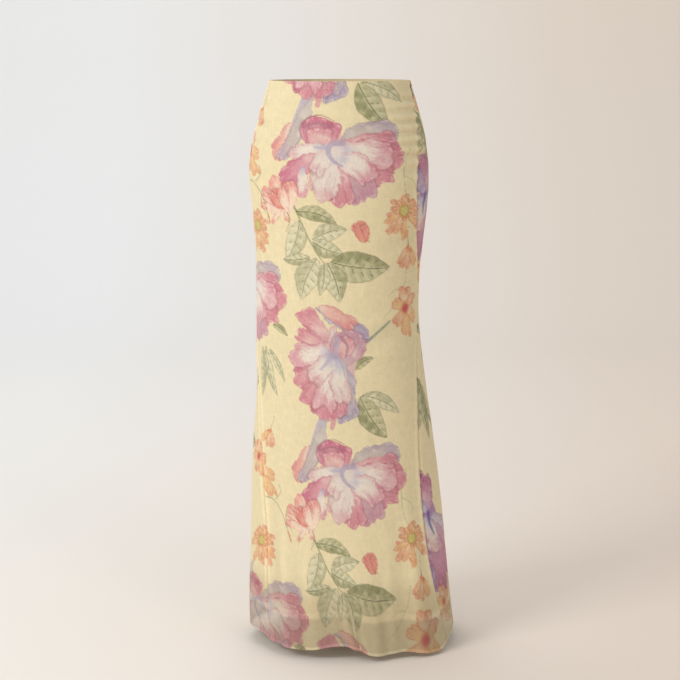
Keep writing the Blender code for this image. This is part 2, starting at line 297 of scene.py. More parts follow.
def wash(x, y, size, seed):
    """Soft blotches about this size across, from -1 to 1."""
    draw = np.random.RandomState(seed)
    total = np.zeros_like(x)
    for _ in range(6):
        turn, phase, step = draw.rand() * math.pi, draw.rand() * 2 * math.pi, 0.6 + 1.1 * draw.rand()
        total += np.sin(2 * math.pi * step * (x * math.cos(turn) + y * math.sin(turn)) / size + phase)
    return np.clip(total / 3.0, -1, 1)


class Patch:
    """The stretch of cloth that one motif is drawn on."""

    def __init__(self, cloth, u, v, reach, scale, turn, mirror):
        near = (np.abs(cloth.u - u) < reach) & (np.abs(cloth.v - v) < reach)
        self.cloth, self.where = cloth, np.where(near)[0]
        dx, dy = (cloth.u[self.where] - u) / scale, (v - cloth.v[self.where]) / scale
        if mirror:
            dx = -dx
        c, s = math.cos(math.radians(turn)), math.sin(math.radians(turn))
        self.x, self.y, self.scale = c * dx + s * dy, c * dy - s * dx, scale
        self.colour, self.painted = cloth.colour[self.where], cloth.painted[self.where]

    def lay(self, cover, colour):
        """Paint over what is there, this thickly."""
        cover = np.clip(cover, 0, 1)
        self.colour += cover[:, None] * (np.asarray(colour, float) - self.colour)
        self.painted = np.maximum(self.painted, cover)

    def done(self):
        self.cloth.colour[self.where], self.cloth.painted[self.where] = self.colour, self.painted


class Cloth:
    """A run of cloth to print: where each point lies on the flat, and its colour."""

    def __init__(self, u, v):
        self.u, self.v = np.ravel(u), np.ravel(v)
        self.colour = np.tile(np.array(GROUND, float), (len(self.u), 1))
        self.painted = np.zeros(len(self.u))


def mix(a, b, share):
    share = np.clip(share, 0, 1)[:, None]
    return np.asarray(a, float) * (1 - share) + np.asarray(b, float) * share


def petal(patch, x, y, aim, length, spread, look, bend=0.0, ruffle=0.08, lobes=2.0, round_end=0.34):
    """One petal opening from its base, with an unevenly ruffled margin, folds and fine streaks."""
    heart, body, margin, streak, reach = LOOKS[look]
    seed = int(abs(x * 7001 + y * 3301 + aim * 17 + length * 9001)) % 9973
    sway = min(1.0, length / 0.06)
    dx = patch.x - x + sway * (0.0034 * wash(patch.x, patch.y, 0.058, seed + 6)
                               + 0.0012 * wash(patch.x, patch.y, 0.019, seed + 7))
    dy = patch.y - y + sway * (0.0034 * wash(patch.x, patch.y, 0.058, seed + 8)
                               + 0.0012 * wash(patch.x, patch.y, 0.019, seed + 9))
    r = np.hypot(dx, dy) + 1e-6
    lean = np.degrees(np.arctan2(dy, dx)) - aim - bend * np.minimum(r / length, 1.3)
    fuller = 1 + 0.75 * (1 - rise(0.0, 0.75, r / length))
    s = ((lean + 180) % 360 - 180) / (spread * fuller)      # -1 to 1 from one side to the other

    def lobe_at(s):
        return np.abs(np.sin(0.5 * math.pi * lobes * (s + 0.24 * waves(s, 0.6, seed)) + seed))

    def edge_at(s):
        lobe = lobe_at(s) ** 0.55
        wide = np.clip(1 - np.abs(s) ** 3.0, 1e-4, 1) ** round_end
        return length * wide * (1 + ruffle * 1.3 * (lobe - 0.8) + 0.5 * ruffle * waves(s, 0.8, seed))

    edge = edge_at(s)
    slope = (edge_at(s + 0.01) - edge) / 0.01 / (math.radians(spread) * r)
    inside = np.where((np.abs(s) < 1) & (r < edge + 0.004), (edge - r) / np.sqrt(1 + slope ** 2), -1.0)
    if not (inside > -0.006).any():
        return
    out = r / edge
    soft = 0.0010 / patch.scale
    # a faint shade on what lies just outside the petal
    shade = 0.15 * patch.painted * np.exp(-np.abs(inside) / 0.0032) * (inside < 0)
    patch.colour *= 1 - shade[:, None]

    blotch = wash(patch.x, patch.y, 0.048, seed + 1)
    warp = 0.10 * wash(patch.x, patch.y, 0.026, seed + 10)
    fine = waves((s + warp) * spread / 30.0, 3.0, seed + 2)
    finer = waves((s + warp) * spread / 30.0, 6.5, seed + 3)
    valley = np.exp(-(lobe_at(s) / 0.20) ** 2)
    # heart, body and margin, then streaks along it and the folds between its lobes
    tone = mix(heart, body, rise(0.08, 0.44, out + 0.05 * fine))
    tone = mix(tone, WHITE, 0.40 * rise(0.0, 0.9, blotch) * rise(0.15, 0.4, out) * rise(1.0, 0.7, out))
    tone = mix(tone, margin, rise(reach, 1.02, out + 0.10 * blotch + 0.07 * fine) * 0.90)
    tone = mix(tone, streak, rise(0.30, 0.95, finer) * rise(0.18, 0.60, out) * (0.20 + 0.14 * (out > reach)))
    tone = mix(tone, WHITE, 0.26 * rise(0.35, 1.0, -finer) * rise(0.45, 0.85, out))
    tone = mix(tone, streak, 0.46 * valley * rise(0.42, 0.98, out))
    tone = mix(tone, streak, 0.30 * rise(0.35, 1.0, s * math.copysign(1, math.sin(math.radians(aim + 40)))))
    # a pale rim, broken here and there, inside a drawn outline
    tone = mix(tone, WHITE, 0.52 * rise(0.0010, 0.0022, inside) * rise(0.0058, 0.0030, inside)
               * rise(-0.3, 0.5, waves(s, 2.1, seed + 4)) * rise(0.45, 0.8, out))
    outline = np.exp(-(inside / 0.0012) ** 2)
    tone = mix(tone, streak, 0.62 * outline * rise(-0.9, 0.4, waves(s, 2.7, seed + 5)))
    tone = mix(tone, INK, 0.22 * rise(0.16, 0.02, out))
    patch.lay(rise(-soft, soft, inside) * 0.95, tone)


def leaf(patch, x, y, aim, length, width, look="sage", bend=0.0, veins=6.0, side=1):
    """One leaf: a lens along a bent midrib, with side veins and a drawn outline."""
    light, body, dark, line, _ = LOOKS[look]
    seed = int(abs(x * 6001 + y * 4211 + aim * 13 + length * 8111)) % 9973
    c, s = math.cos(math.radians(aim)), math.sin(math.radians(aim))
    dx, dy = patch.x - x, patch.y - y
    along, across = c * dx + s * dy, c * dy - s * dx
    p = along / length
    across = across - bend * length * 4 * np.clip(p, 0, 1) * (1 - np.clip(p, 0, 1))
    inner = np.clip(p, 1e-4, 1 - 1e-4)
    wide = width * np.sin(math.pi * inner ** 0.82) ** 0.85 * (1 + 0.05 * waves(p, 2.2, seed))
    half = np.where((p > 0) & (p < 1), wide, 0.0)
    inside = np.where((p > 0) & (p < 1), (half - np.abs(across)) * 0.92, -0.01)
    q = across / np.maximum(half, 1e-5)
    blotch = wash(patch.x, patch.y, 0.024, seed + 1)
    shade = 0.42 + 0.30 * np.sign(q * side) * rise(0.02, 0.2, np.abs(q)) + 0.34 * blotch
    tone = mix(light, body, shade)
    tone = mix(tone, dark, 0.75 * rise(0.45, 1.05, shade + 0.25 * np.abs(q)))
    phase = (p * veins - 0.42 * np.abs(q) * veins / 3.2 - 0.1 * np.sign(q)) % 1.0
    gap = length / veins
    vein = np.exp(-((phase - 0.5) * gap / 0.0012) ** 2) * rise(0.98, 0.6, np.abs(q))
    tone = mix(tone, dark, 0.30 * rise(0.5, 0.0, np.abs(phase - 0.25)) * rise(0.0, 0.5, np.abs(q)))
    tone = mix(tone, line, 0.62 * vein * rise(-0.7, 0.4, waves(p + q, 1.7, seed + 2)))
    beside_rib = rise(0.0009, 0.0016, np.abs(across)) * rise(0.0034, 0.0018, np.abs(across))
    tone = mix(tone, light, 0.55 * beside_rib)
    tone = mix(tone, line, 0.80 * np.exp(-(across / 0.0009) ** 2) * rise(1.0, 0.75, p))
    outline = np.exp(-(inside / 0.0012) ** 2) * (0.72 + 0.28 * waves(p, 2.4, seed + 3))
    tone = mix(tone, LEAF_INK, 0.72 * outline)
    patch.lay(rise(-0.0008, 0.0010, inside) * 0.90, tone)


def stroke(patch, points, width, colour, strength=0.8, taper=0.6):
    """A brushed or pencilled line through these points, thinner towards its end."""
    # a curve through the points, eight steps from each to the next
    points = np.asarray(points, float)
    ahead = np.concatenate([2 * points[:1] - points[1:2], points, 2 * points[-1:] - points[-2:-1]])
    steps = np.linspace(0, 1, 9)[:-1, None]
    path = [0.5 * (2 * b + (c - a) * steps + (2 * a - 5 * b + 4 * c - d) * steps ** 2
                   + (3 * b - a - 3 * c + d) * steps ** 3)
            for a, b, c, d in zip(ahead[:-3], ahead[1:-2], ahead[2:-1], ahead[3:])]
    path = np.concatenate(path + [points[-1:]])
    best, where = np.full(len(patch.x), 1.0), np.zeros(len(patch.x))
    for i, (a, b) in enumerate(zip(path[:-1], path[1:])):
        run = b - a
        t = np.clip(((patch.x - a[0]) * run[0] + (patch.y - a[1]) * run[1]) / max(run @ run, 1e-12), 0, 1)
        gap = np.hypot(patch.x - a[0] - t * run[0], patch.y - a[1] - t * run[1])
        closer = gap < best
        best, where = np.where(closer, gap, best), np.where(closer, (i + t) / (len(path) - 1), where)
    half = 0.5 * width * (1 - taper * where)
    cover = rise(half + 0.0008, half - 0.0006, best) * (0.85 + 0.15 * waves(where, 6, 5))
    patch.lay(strength * cover, colour)


# Each petal: base x, base y, aim in degrees, length, half spread in degrees, look, bend, ruffle, lobes.
# Lengths are in millimetres. What comes later lies on top.
PEONY = (
    (-58, 46, 236, 76, 24, "peach", 4, 0.07, 2.0),
    (-30, 98, 252, 134, 9.0, "grey", -8, 0.03, 1.2),
    (-22, 2, 90, 56, 58, "stripe", -6, 0.07, 2.4),
    (-22, 0, 92, 38, 56, "cup", 0, 0.06, 3.0),
    (6, 6, 24, 104, 22, "grey", -12, 0.06, 1.8),
    (2, 4, 8, 112, 14, "rose", -6, 0.08, 1.8),
    (0, 0, 349, 126, 20, "rose", 0, 0.08, 2.0),
    (0, -6, 328, 112, 21, "rose", 4, 0.08, 2.0),
    (0, -10, 303, 104, 25, "mauve", 4, 0.07, 2.4),
    (0, -6, 281, 100, 19, "rose", 0, 0.08, 2.0),
    (2, 0, 350, 102, 24, "fan", 0, 0.07, 2.2),
    (4, -6, 324, 84, 24, "fan", 0, 0.07, 2.0),
    (-4, 4, 263, 102, 22, "pale", 0, 0.08, 2.2),
    (-6, 2, 192, 66, 24, "pale", 0, 0.05, 1.6),
    (-18, -8, 215, 92, 19, "stripe", 6, 0.05, 1.6),
    (-44, -30, 262, 60, 17, "fan", 0, 0.05, 1.2),
    (0, 2, 238, 58, 24, "pale", 0, 0.05, 1.6),
)
PEONY_STROKES = (   # points in millimetres, width, colour
    (((16, 10), (-2, 6), (-6, -8), (2, -22), (16, -32)), 11, (176, 164, 182)),
    (((-4, 4), (-14, 0), (-30, 2)), 6, (190, 180, 194)),
    (((14, -62), (8, -54), (14, -48), (24, -52), (24, -60)), 4, (240, 222, 210)),
    (((-50, 42), (-38, 54), (-18, 58), (4, 47)), 2.2, (150, 104, 108)),
    (((-48, 38), (-24, 44), (2, 38)), 6, (172, 120, 132)),
)
ORCHID = (
    (-34, 86, 338, 116, 12, "lilac", -8, 0.04, 1.4),
    (-34, 90, 352, 80, 17, "peach", -22, 0.08, 2.2),
    (0, 16, 92, 40, 15, "pale", 0, 0.05, 1.6),
    (-8, 24, 129, 76, 22, "rose", 0, 0.07, 2.0),
    (-16, 20, 160, 60, 24, "rose", 0, 0.08, 2.0),
    (4, -14, 60, 70, 40, "mauve", -8, 0.08, 3.2),
    (4, -10, 68, 50, 32, "cup", -8, 0.07, 3.0),
    (4, 0, 287, 122, 17, "lilac", -12, 0.05, 1.8),
    (4, 0, 285, 112, 13, "grey", -10, 0.05, 1.8),
    (0, -2, 212, 92, 28, "rose", 0, 0.08, 2.2),
    (0, 4, 178, 82, 26, "fan", 6, 0.08, 2.6),
    (0, -8, 238, 104, 22, "rose", 0, 0.08, 2.2),
    (-4, -12, 262, 108, 25, "rose", 0, 0.08, 2.6),
    (0, -8, 252, 96, 24, "fan", 0, 0.09, 3.0),
    (0, 0, 277, 88, 20, "pale", 0, 0.07, 2.4),
    (-2, 2, 224, 66, 28, "pale", 0, 0.06, 2.0),
)
ORCHID_STROKES = (
    (((6, 30), (2, 8), (-12, -8), (-26, -24)), 10, (184, 174, 192)),
    (((2, 4), (12, -14), (18, -40)), 7, (184, 174, 194)),
    (((14, 34), (24, 18), (20, -2)), 6, (170, 128, 142)),
)
IRIS = (
    (0, 24, 98, 70, 30, "magenta", 0, 0.10, 3.2),
    (0, 24, 62, 62, 26, "magenta", 10, 0.10, 3.0),
    (0, 20, 134, 60, 26, "violet", 0, 0.10, 3.0),
    (0, 14, 214, 70, 32, "iris", 0, 0.11, 3.6),
    (0, 14, 326, 70, 32, "iris", 0, 0.11, 3.6),
    (0, 8, 296, 118, 22, "magenta", 0, 0.11, 4.0),
    (0, 8, 246, 122, 22, "violet", 0, 0.11, 4.0),
    (0, 10, 270, 132, 20, "magenta", 0, 0.11, 4.4),
    (0, 16, 262, 62, 28, "pale", 0, 0.08, 3.4),
)
TULIP = (
    (4, -34, 96, 66, 24, "tulip", 0, 0.10, 1.6),
    (2, -36, 122, 66, 20, "tulip", 0, 0.10, 1.4),
    (6, -36, 66, 58, 18, "tulip", 0, 0.10, 1.4),
    (0, -30, 104, 46, 26, "coral", 0, 0.12, 2.0),
    (4, -34, 84, 44, 24, "tulip", 0, 0.12, 1.8),
    (-2, -34, 148, 52, 15, "tulip", 0, 0.08, 1.0),
    (8, -20, 250, 34, 14, "tulip", 0, 0.08, 1.0),
    (-2, -24, 210, 40, 13, "tulip", 0, 0.08, 1.0),
)
RED_BUD = (
    (8, -20, 76, 30, 30, "coral", 10, 0.04, 1.0),
    (12, -20, 118, 48, 30, "coral", -6, 0.06, 1.4),
    (12, -20, 96, 34, 20, "coral", 0, 0.05, 1.0),
)
SMALL_BLOOM = (
    (0, 0, 84, 32, 36, "orange", 0, 0.14, 1.6),
    (0, 0, 150, 26, 30, "amber", 0, 0.14, 1.4),
    (0, 0, 20, 28, 30, "orange", 0, 0.14, 1.4),
    (0, 0, 268, 46, 24, "amber", 0, 0.12, 2.0),
    (0, 0, 226, 36, 22, "orange", 0, 0.12, 1.6),
    (0, 0, 312, 34, 24, "amber", 0, 0.12, 1.6),
)
BELL = (
    (-2, 24, 262, 46, 24, "orange", 0, 0.12, 2.0),
    (4, 22, 286, 42, 18, "amber", 0, 0.12, 1.6),
    (-2, 22, 238, 36, 16, "orange", 0, 0.12, 1.2),
)
IRIS_STROKES = ((((0, 20), (-3, 2), (2, -16)), 9, (92, 92, 160)),)
TULIP_STROKES = (
    (((4, -34), (2, -50), (-12, -66)), 2, (140, 140, 100)),
    (((-30, 22), (-44, 0), (-40, -24)), 1.5, (160, 120, 100)),
)
RED_BUD_STROKES = (
    (((10, -16), (18, -22)), 2, (150, 120, 80)),
    (((-2, 20), (-2, 28)), 2, (206, 110, 90)),
)
BELL_STROKES = ((((-2, 24), (-6, 44), (-4, 60)), 1.4, (160, 140, 90)),)
GREEN_STEM = ((((-34, -30), (-6, -12), (30, 16)), 6, (128, 148, 128)),)
LILAC_BAND = (
    (((6, 48), (-8, 18), (-26, -22), (-38, -58)), 20, (186, 174, 200)),
    (((22, 40), (10, 16), (4, -6)), 13, (214, 146, 158)),
)
TENDRIL = (
    (((-30, 26), (-8, 22), (14, 0), (26, -34)), 1.5, (140, 140, 104)),
    (((-2, 24), (14, 40), (10, 54)), 1.3, (140, 140, 104)),
    (((26, -34), (30, -50)), 3.2, (206, 120, 96)),
)
WISP = (
    (((-4, 60), (-14, 20), (-8, -24), (10, -60)), 1.3, (160, 158, 112)),
    (((-12, 10), (6, 0), (14, -14)), 1.2, (160, 158, 112)),
)
# Each leaf: base x, base y, aim, length, half width, look, bend, veins, shaded side.
SPRAY = (
    (-64, 58, 344, 74, 14, "dark sage", 0.10, 6, -1),
    (-58, 42, 251, 78, 19, "pale sage", 0.08, 5, 1),
    (-34, 8, 18, 62, 17, "pale sage", 0.08, 5, 1),
    (-34, 4, 338, 58, 16, "sage", -0.06, 5, -1),
    (-2, -32, 354, 108, 29, "dark sage", -0.05, 7, 1),
    (-38, -24, 186, 52, 11, "sage", 0.05, 5, 1),
    (-26, -26, 250, 80, 23, "pale sage", -0.06, 6, -1),
    (-8, -34, 288, 76, 20, "sage", 0.06, 6, 1),
    (-14, -36, 264, 58, 11, "pale sage", 0.06, 5, -1),
)
SPRAY_STROKES = (
    (((-66, 68), (-56, 44), (-40, 8), (-18, -28), (-8, -38)), 2.6, (128, 134, 92)),
    (((-60, 58), (-68, 66)), 2.2, (120, 126, 86)),
)
LEAF_PAIR = (
    (-26, 40, 334, 84, 14, "pale sage", 0.08, 6, 1),
    (-30, 38, 304, 94, 22, "dark sage", -0.06, 6, -1),
)
LEAF_BUNCH = (
    (0, 60, 250, 92, 12, "sage", 0.06, 6, 1),
    (4, 60, 286, 96, 12, "dark sage", -0.04, 6, -1),
    (2, 62, 268, 108, 14, "dark sage", 0.0, 7, 1),
    (0, 58, 232, 54, 9, "pale sage", 0.06, 4, 1),
)
ONE_LEAF = ((-18, 12, 330, 42, 8, "dark sage", 0.1, 4, 1),)
TALL_LEAVES = (
    (-8, 46, 262, 100, 11, "sage", 0.04, 6, 1),
    (4, 48, 284, 96, 12, "pale sage", -0.06, 6, -1),
    (14, 44, 300, 70, 8, "pale sage", 0.05, 5, 1),
)


def draw_petals(patch, table):
    """Petals from a table in millimetres."""
    for x, y, aim, length, spread, look, bend, ruffle, lobes in table:
        petal(patch, x / 1000, y / 1000, aim, length / 1000, spread, look, bend, ruffle, lobes)


def under_wash(patch, x, y, wide, high, colour):
    """A loose oval of thin paint for petals to lie on."""
    gap = np.hypot((patch.x - x) / wide, (patch.y - y) / high)
    patch.lay(0.9 * rise(1.08, 0.9, gap + 0.08 * wash(patch.x, patch.y, 0.03, 4)), colour)


def dab(patch, y, cover, core, size, colour, x=0.0):
    """A round touch of paint that fades out from its core."""
    patch.lay(cover * rise(size, core, np.hypot(patch.x - x, patch.y - y)), colour)


def draw_leaves(patch, table):
    """Leaves from a table in millimetres."""
    for x, y, aim, length, width, look, bend, veins, side in table:
        leaf(patch, x / 1000, y / 1000, aim, length / 1000, width / 1000, look, bend, veins, side)


def draw_strokes(patch, table, strength=0.8, taper=0.6):
    """Strokes from a table in millimetres."""
    for points, width, colour in table:
        stroke(patch, [(x / 1000, y / 1000) for x, y in points], width / 1000, colour, strength, taper)


def daisy(patch):
    """Two rounds of broad petals about a dotted disc, the lower ones long and hanging."""
    for ring, count in ((0, 11), (1, 10)):
        for i in range(count):
            turn = 12 + (i + 0.5 * ring) * 360 / count + 7 * math.sin(5.1 * i + ring)
            hang = max(0.0, -math.sin(math.radians(turn)))
            length = 0.029 + 0.024 * hang - 0.004 * ring + 0.005 * math.sin(3.7 * i + ring)
            petal(patch, 0, 0, turn, length, 16 - 5 * hang, ("orange", "amber")[ring],
                  8 * math.cos(math.radians(turn)), 0.05, 1.2, 0.30)
    gap = np.hypot(patch.x, patch.y)
    dots = wash(patch.x, patch.y, 0.0060, 77)
    tone = mix((224, 212, 138), (200, 182, 108), 0.5 + 0.5 * dots)
    tone = mix(tone, (176, 136, 84), 0.7 * np.exp(-((gap - 0.0098) / 0.0014) ** 2))
    turn = np.degrees(np.arctan2(patch.y, patch.x))
    marks = rise(0.2, 0.9, np.sin(np.radians(turn * 13)) + 0.4 * wash(patch.x, patch.y, 0.02, 9))
    patch.lay(0.55 * marks * rise(0.0100, 0.0125, gap) * rise(0.0200, 0.0150, gap), (190, 104, 78))
    patch.lay(rise(0.0118, 0.0100, gap), tone)


# How far each motif reaches, and what it is drawn with, one thing after another.
MOTIFS = {
    "peony": (0.16, (under_wash, 0.014, -0.022, 0.062, 0.042, (220, 180, 178)), (draw_petals, PEONY),
              (dab, -0.006, 0.85, 0.006, 0.024, (236, 222, 208), 0.004), (draw_strokes, PEONY_STROKES)),
    "orchid": (0.15, (under_wash, -0.004, -0.016, 0.040, 0.064, (222, 184, 182)), (draw_petals, ORCHID),
               (draw_strokes, ORCHID_STROKES)),
    "iris": (0.15, (under_wash, 0.0, 0.0, 0.026, 0.052, (176, 132, 176)), (draw_petals, IRIS),
             (draw_strokes, IRIS_STROKES)),
    "tulip": (0.085, (draw_petals, TULIP), (draw_strokes, TULIP_STROKES)),
    "red bud": (0.05, (draw_petals, RED_BUD), (draw_strokes, RED_BUD_STROKES)),
    "daisy": (0.07, (daisy,)),
    "small bloom": (0.06, (draw_petals, SMALL_BLOOM), (dab, -0.004, 0.75, 0.002, 0.010, (206, 78, 96))),
    "bell": (0.07, (draw_petals, BELL), (draw_strokes, BELL_STROKES)),
    "spray": (0.13, (draw_strokes, SPRAY_STROKES), (draw_leaves, SPRAY)),
    "leaf pair": (0.10, (draw_leaves, LEAF_PAIR)),
    "leaf bunch": (0.12, (draw_leaves, LEAF_BUNCH)),
    "one leaf": (0.05, (draw_leaves, ONE_LEAF)),
    "tall leaves": (0.11, (draw_leaves, TALL_LEAVES)),
    "green stem": (0.06, (draw_strokes, GREEN_STEM, 0.85, 0.35)),
    "lilac band": (0.085, (draw_strokes, LILAC_BAND, 0.8, 0.35)),
    "tendril": (0.07, (draw_strokes, TENDRIL, 0.8, 0.2)),
    "wisp": (0.08, (draw_strokes, WISP, 0.6, 0.2)),
}
# Where each lies: metres across from the panel's middle and down from the waist, scale, turn, mirroring,
# and how far across and down it comes again.
REPEAT = (0.0, PRINT_REPEAT)
ONCE = None
FRONT_LAYOUT = (
    ("wisp", 0.128, 0.180, 1.0, 0, False, REPEAT),
    ("wisp", 0.110, 0.380, 0.9, 20, True, REPEAT),
    ("lilac band", -0.040, 0.036, 1.0, 0, False, (0.016, 0.582)),
    ("leaf pair", 0.059, 0.041, 1.0, 0, False, (0.005, 0.565)),
    ("green stem", 0.067, 0.450, 1.0, 0, False, ONCE),
    ("spray", -0.012, 0.291, 1.0, 0, False, (0.010, 0.606)),
    ("one leaf", 0.047, 0.509, 1.0, 60, False, (0.010, 0.590)),
    ("orchid", -0.0270, -0.084, 1.0, 0, False, ONCE),
    ("orchid", -0.0085, 0.494, 1.0, 0, False, ONCE),
    ("orchid", -0.005, 1.100, 1.0, 0, False, ONCE),
    ("peony", -0.012, 0.118, 1.0, 0, False, (0.0135, 0.586)),
    ("tulip", -0.106, 0.204, 1.0, 20, False, (0.020, 0.580)),
    ("red bud", 0.036, 0.271, 0.86, 8, False, (0.009, 0.605)),
    ("bell", 0.133, 0.319, 1.0, 0, False, (0.029, 0.604)),
    ("daisy", 0.116, 0.233, 1.0, 0, False, (0.019, 0.600)),
    ("small bloom", 0.132, 0.409, 1.2, 10, False, ONCE),
    ("small bloom", 0.169, 1.010, 1.6, 10, False, ONCE),
    ("tendril", -0.158, 0.206, 1.0, 0, False, (0.008, 0.583)),
    ("one leaf", -0.112, 0.453, 0.9, 0, False, (0.0, 0.590)),
    ("tall leaves", -0.156, 0.530, 0.95, 0, False, REPEAT),
    ("small bloom", -0.190, 0.125, 1.2, 40, False, (0.0, 0.590)),
    ("bell", -0.160, 0.064, 0.8, 20, True, (0.0, 0.588)),
    ("daisy", -0.164, 0.263, 1.0, 20, True, (-0.032, 0.583)),
    ("peony", -0.220, 0.376, 1.0, 0, False, (0.006, 0.589)),
)
BACK_LAYOUT = (
    ("wisp", -0.190, 0.080, 1.1, 0, False, REPEAT),
    ("green stem", 0.095, 0.560, 1.0, 20, False, REPEAT),
    ("orchid", 0.024, 0.600, 1.0, 8, True, REPEAT),
    ("peony", -0.052, 0.262, 1.0, -8, True, REPEAT),
    ("spray", -0.130, 0.450, 1.0, -10, True, REPEAT),
    ("leaf pair", 0.096, 0.232, 1.0, 10, False, REPEAT),
    ("spray", 0.162, 0.640, 0.95, 6, False, REPEAT),
    ("tulip", 0.110, 0.400, 1.0, -30, True, REPEAT),
    ("daisy", -0.186, 0.610, 1.0, 0, True, REPEAT),
    ("small bloom", -0.095, 0.610, 1.0, 30, False, REPEAT),
    ("red bud", 0.060, 0.350, 1.0, 60, True, REPEAT),
    ("bell", 0.180, 0.520, 1.0, 0, True, REPEAT),
    ("one leaf", -0.020, 0.420, 1.0, 30, True, REPEAT),
    ("tendril", 0.170, 0.150, 1.0, 10, True, REPEAT),
    ("leaf bunch", -0.244, 0.104, 1.0, 0, False, ONCE),
    ("iris", -0.262, 0.226, 1.0, 0, False, ONCE),
    ("bell", -0.240, 0.352, 1.0, 0, False, ONCE),
    ("one leaf", -0.232, 0.462, 1.0, 0, False, ONCE),
    ("leaf bunch", -0.268, 0.612, 1.1, 0, False, ONCE),
    ("iris", -0.342, 0.818, 1.15, 0, False, ONCE),
    ("small bloom", -0.362, 0.966, 1.0, 0, False, ONCE),
    ("daisy", -0.250, 0.960, 1.1, 10, False, ONCE),
    ("peony", 0.184, 0.390, 0.95, 0, False, ONCE),
    ("small bloom", 0.286, 0.690, 1.0, 40, False, ONCE),
    ("daisy", 0.334, 0.850, 1.0, 20, True, ONCE),
    ("tall leaves", 0.246, 0.532, 0.95, 0, False, ONCE),
    ("peony", 0.344, 0.978, 0.95, 0, False, ONCE),
)


def print_cloth(u, v, layout):
    """The printed colours at these places on the flat cloth, linear, for a shader."""
    cloth = Cloth(u, v)
    for kind, mu, mv, scale, turn, mirror, again in layout:
        reach, *steps = MOTIFS[kind]
        for row in (-1, 0, 1, 2) if again else (0,):
            across, along = again or (0, 0)
            at_u, at_v = mu + row * across, mv + row * along
            patch = Patch(cloth, at_u, at_v, reach * scale, scale, turn, mirror)
            if not len(patch.where):
                continue
            for draw, *what in steps:
                draw(patch, *what)
            patch.done()
    shown = np.clip(cloth.colour, 0, 255) / 255.0
    return np.where(shown <= 0.04045, shown / 12.92, ((shown + 0.055) / 1.055) ** 2.4)


# ------------------------------------------------------------------ the hang of the cloth
outer = Layer("front_panel", "back_panel", 0.0)
inner = Layer("lining_front", "lining_back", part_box("lining_front")[1][2])

# Soft troughs, or ridges where the depth is below 0: from an angle and metres down to another angle and
# metres down, then half width and depth in millimetres.
DRAG_LINES = (              # deepest at the seam that they run from
    (78, 0.034, 38, 0.028, 4.6, 2.6), (79, 0.052, 32, 0.056, 5.0, 3.4),
    (79, 0.071, 36, 0.078, 4.6, 3.0), (80, 0.090, 28, 0.101, 5.4, 3.5),
    (80, 0.110, 34, 0.118, 5.0, 3.0), (80, 0.131, 24, 0.141, 6.0, 3.3),
    (79, 0.155, 42, 0.164, 7.5, 1.8), (76, 0.188, 44, 0.200, 9.0, 1.2),
    (-90, 0.040, -60, 0.048, 6.0, 1.6), (-91, 0.070, -54, 0.082, 7.0, 2.0),
    (-92, 0.104, -62, 0.118, 7.0, 1.4), (-90, 0.150, -66, 0.166, 8.0, 0.9),
    (100, 0.044, 150, 0.054, 7.0, 2.0), (101, 0.080, 146, 0.098, 8.0, 2.4),
    (101, 0.118, 138, 0.134, 7.0, 1.6),
    (258, 0.050, 214, 0.058, 7.0, 1.6), (257, 0.086, 222, 0.100, 8.0, 2.0),
)
CREASES = (
    # over the thighs and knees
    (-34, 0.330, 16, 0.352, 16.0, 1.2), (22, 0.470, 62, 0.440, 15.0, 1.5),
    (-64, 0.470, -22, 0.492, 15.0, 1.2), (-18, 0.560, 30, 0.545, 18.0, 1.0),
    (40, 0.300, 70, 0.276, 12.0, 1.1),
    # down the lower front to the hem
    (-4, 0.880, 6.5, 1.030, 6.5, 3.4), (-9, 0.895, 1.5, 1.030, 7.0, -2.6),
    (-40, 0.740, -33, 1.030, 13.0, 2.3), (34, 0.700, 38, 1.020, 12.0, 2.2),
    (54, 0.640, 50, 1.030, 10.0, 1.9), (-56, 0.640, -50, 1.030, 9.0, 2.5),
    (20, 0.850, 24, 1.030, 9.0, 1.6), (-20, 0.800, -17, 1.030, 10.0, 1.4),
    # behind: under the seat and at the knees
    (150, 0.300, 196, 0.316, 16.0, 1.9), (200, 0.330, 236, 0.306, 14.0, 1.5),
    (120, 0.350, 150, 0.372, 13.0, 1.3), (146, 0.490, 204, 0.470, 18.0, 1.4),
    (208, 0.520, 240, 0.540, 14.0, 1.2),
    # behind: down to the hem
    (112, 0.640, 108, 1.030, 13.0, 2.4), (136, 0.700, 139, 1.030, 11.0, 2.7),
    (160, 0.620, 158, 1.030, 14.0, 2.2), (184, 0.740, 187, 1.030, 12.0, 2.8),
    (208, 0.660, 210, 1.030, 13.0, 2.3), (232, 0.700, 229, 1.030, 11.0, 2.6),
    (254, 0.640, 257, 1.030, 12.0, 2.1), (86, 0.720, 84, 1.030, 9.0, 2.0),
)


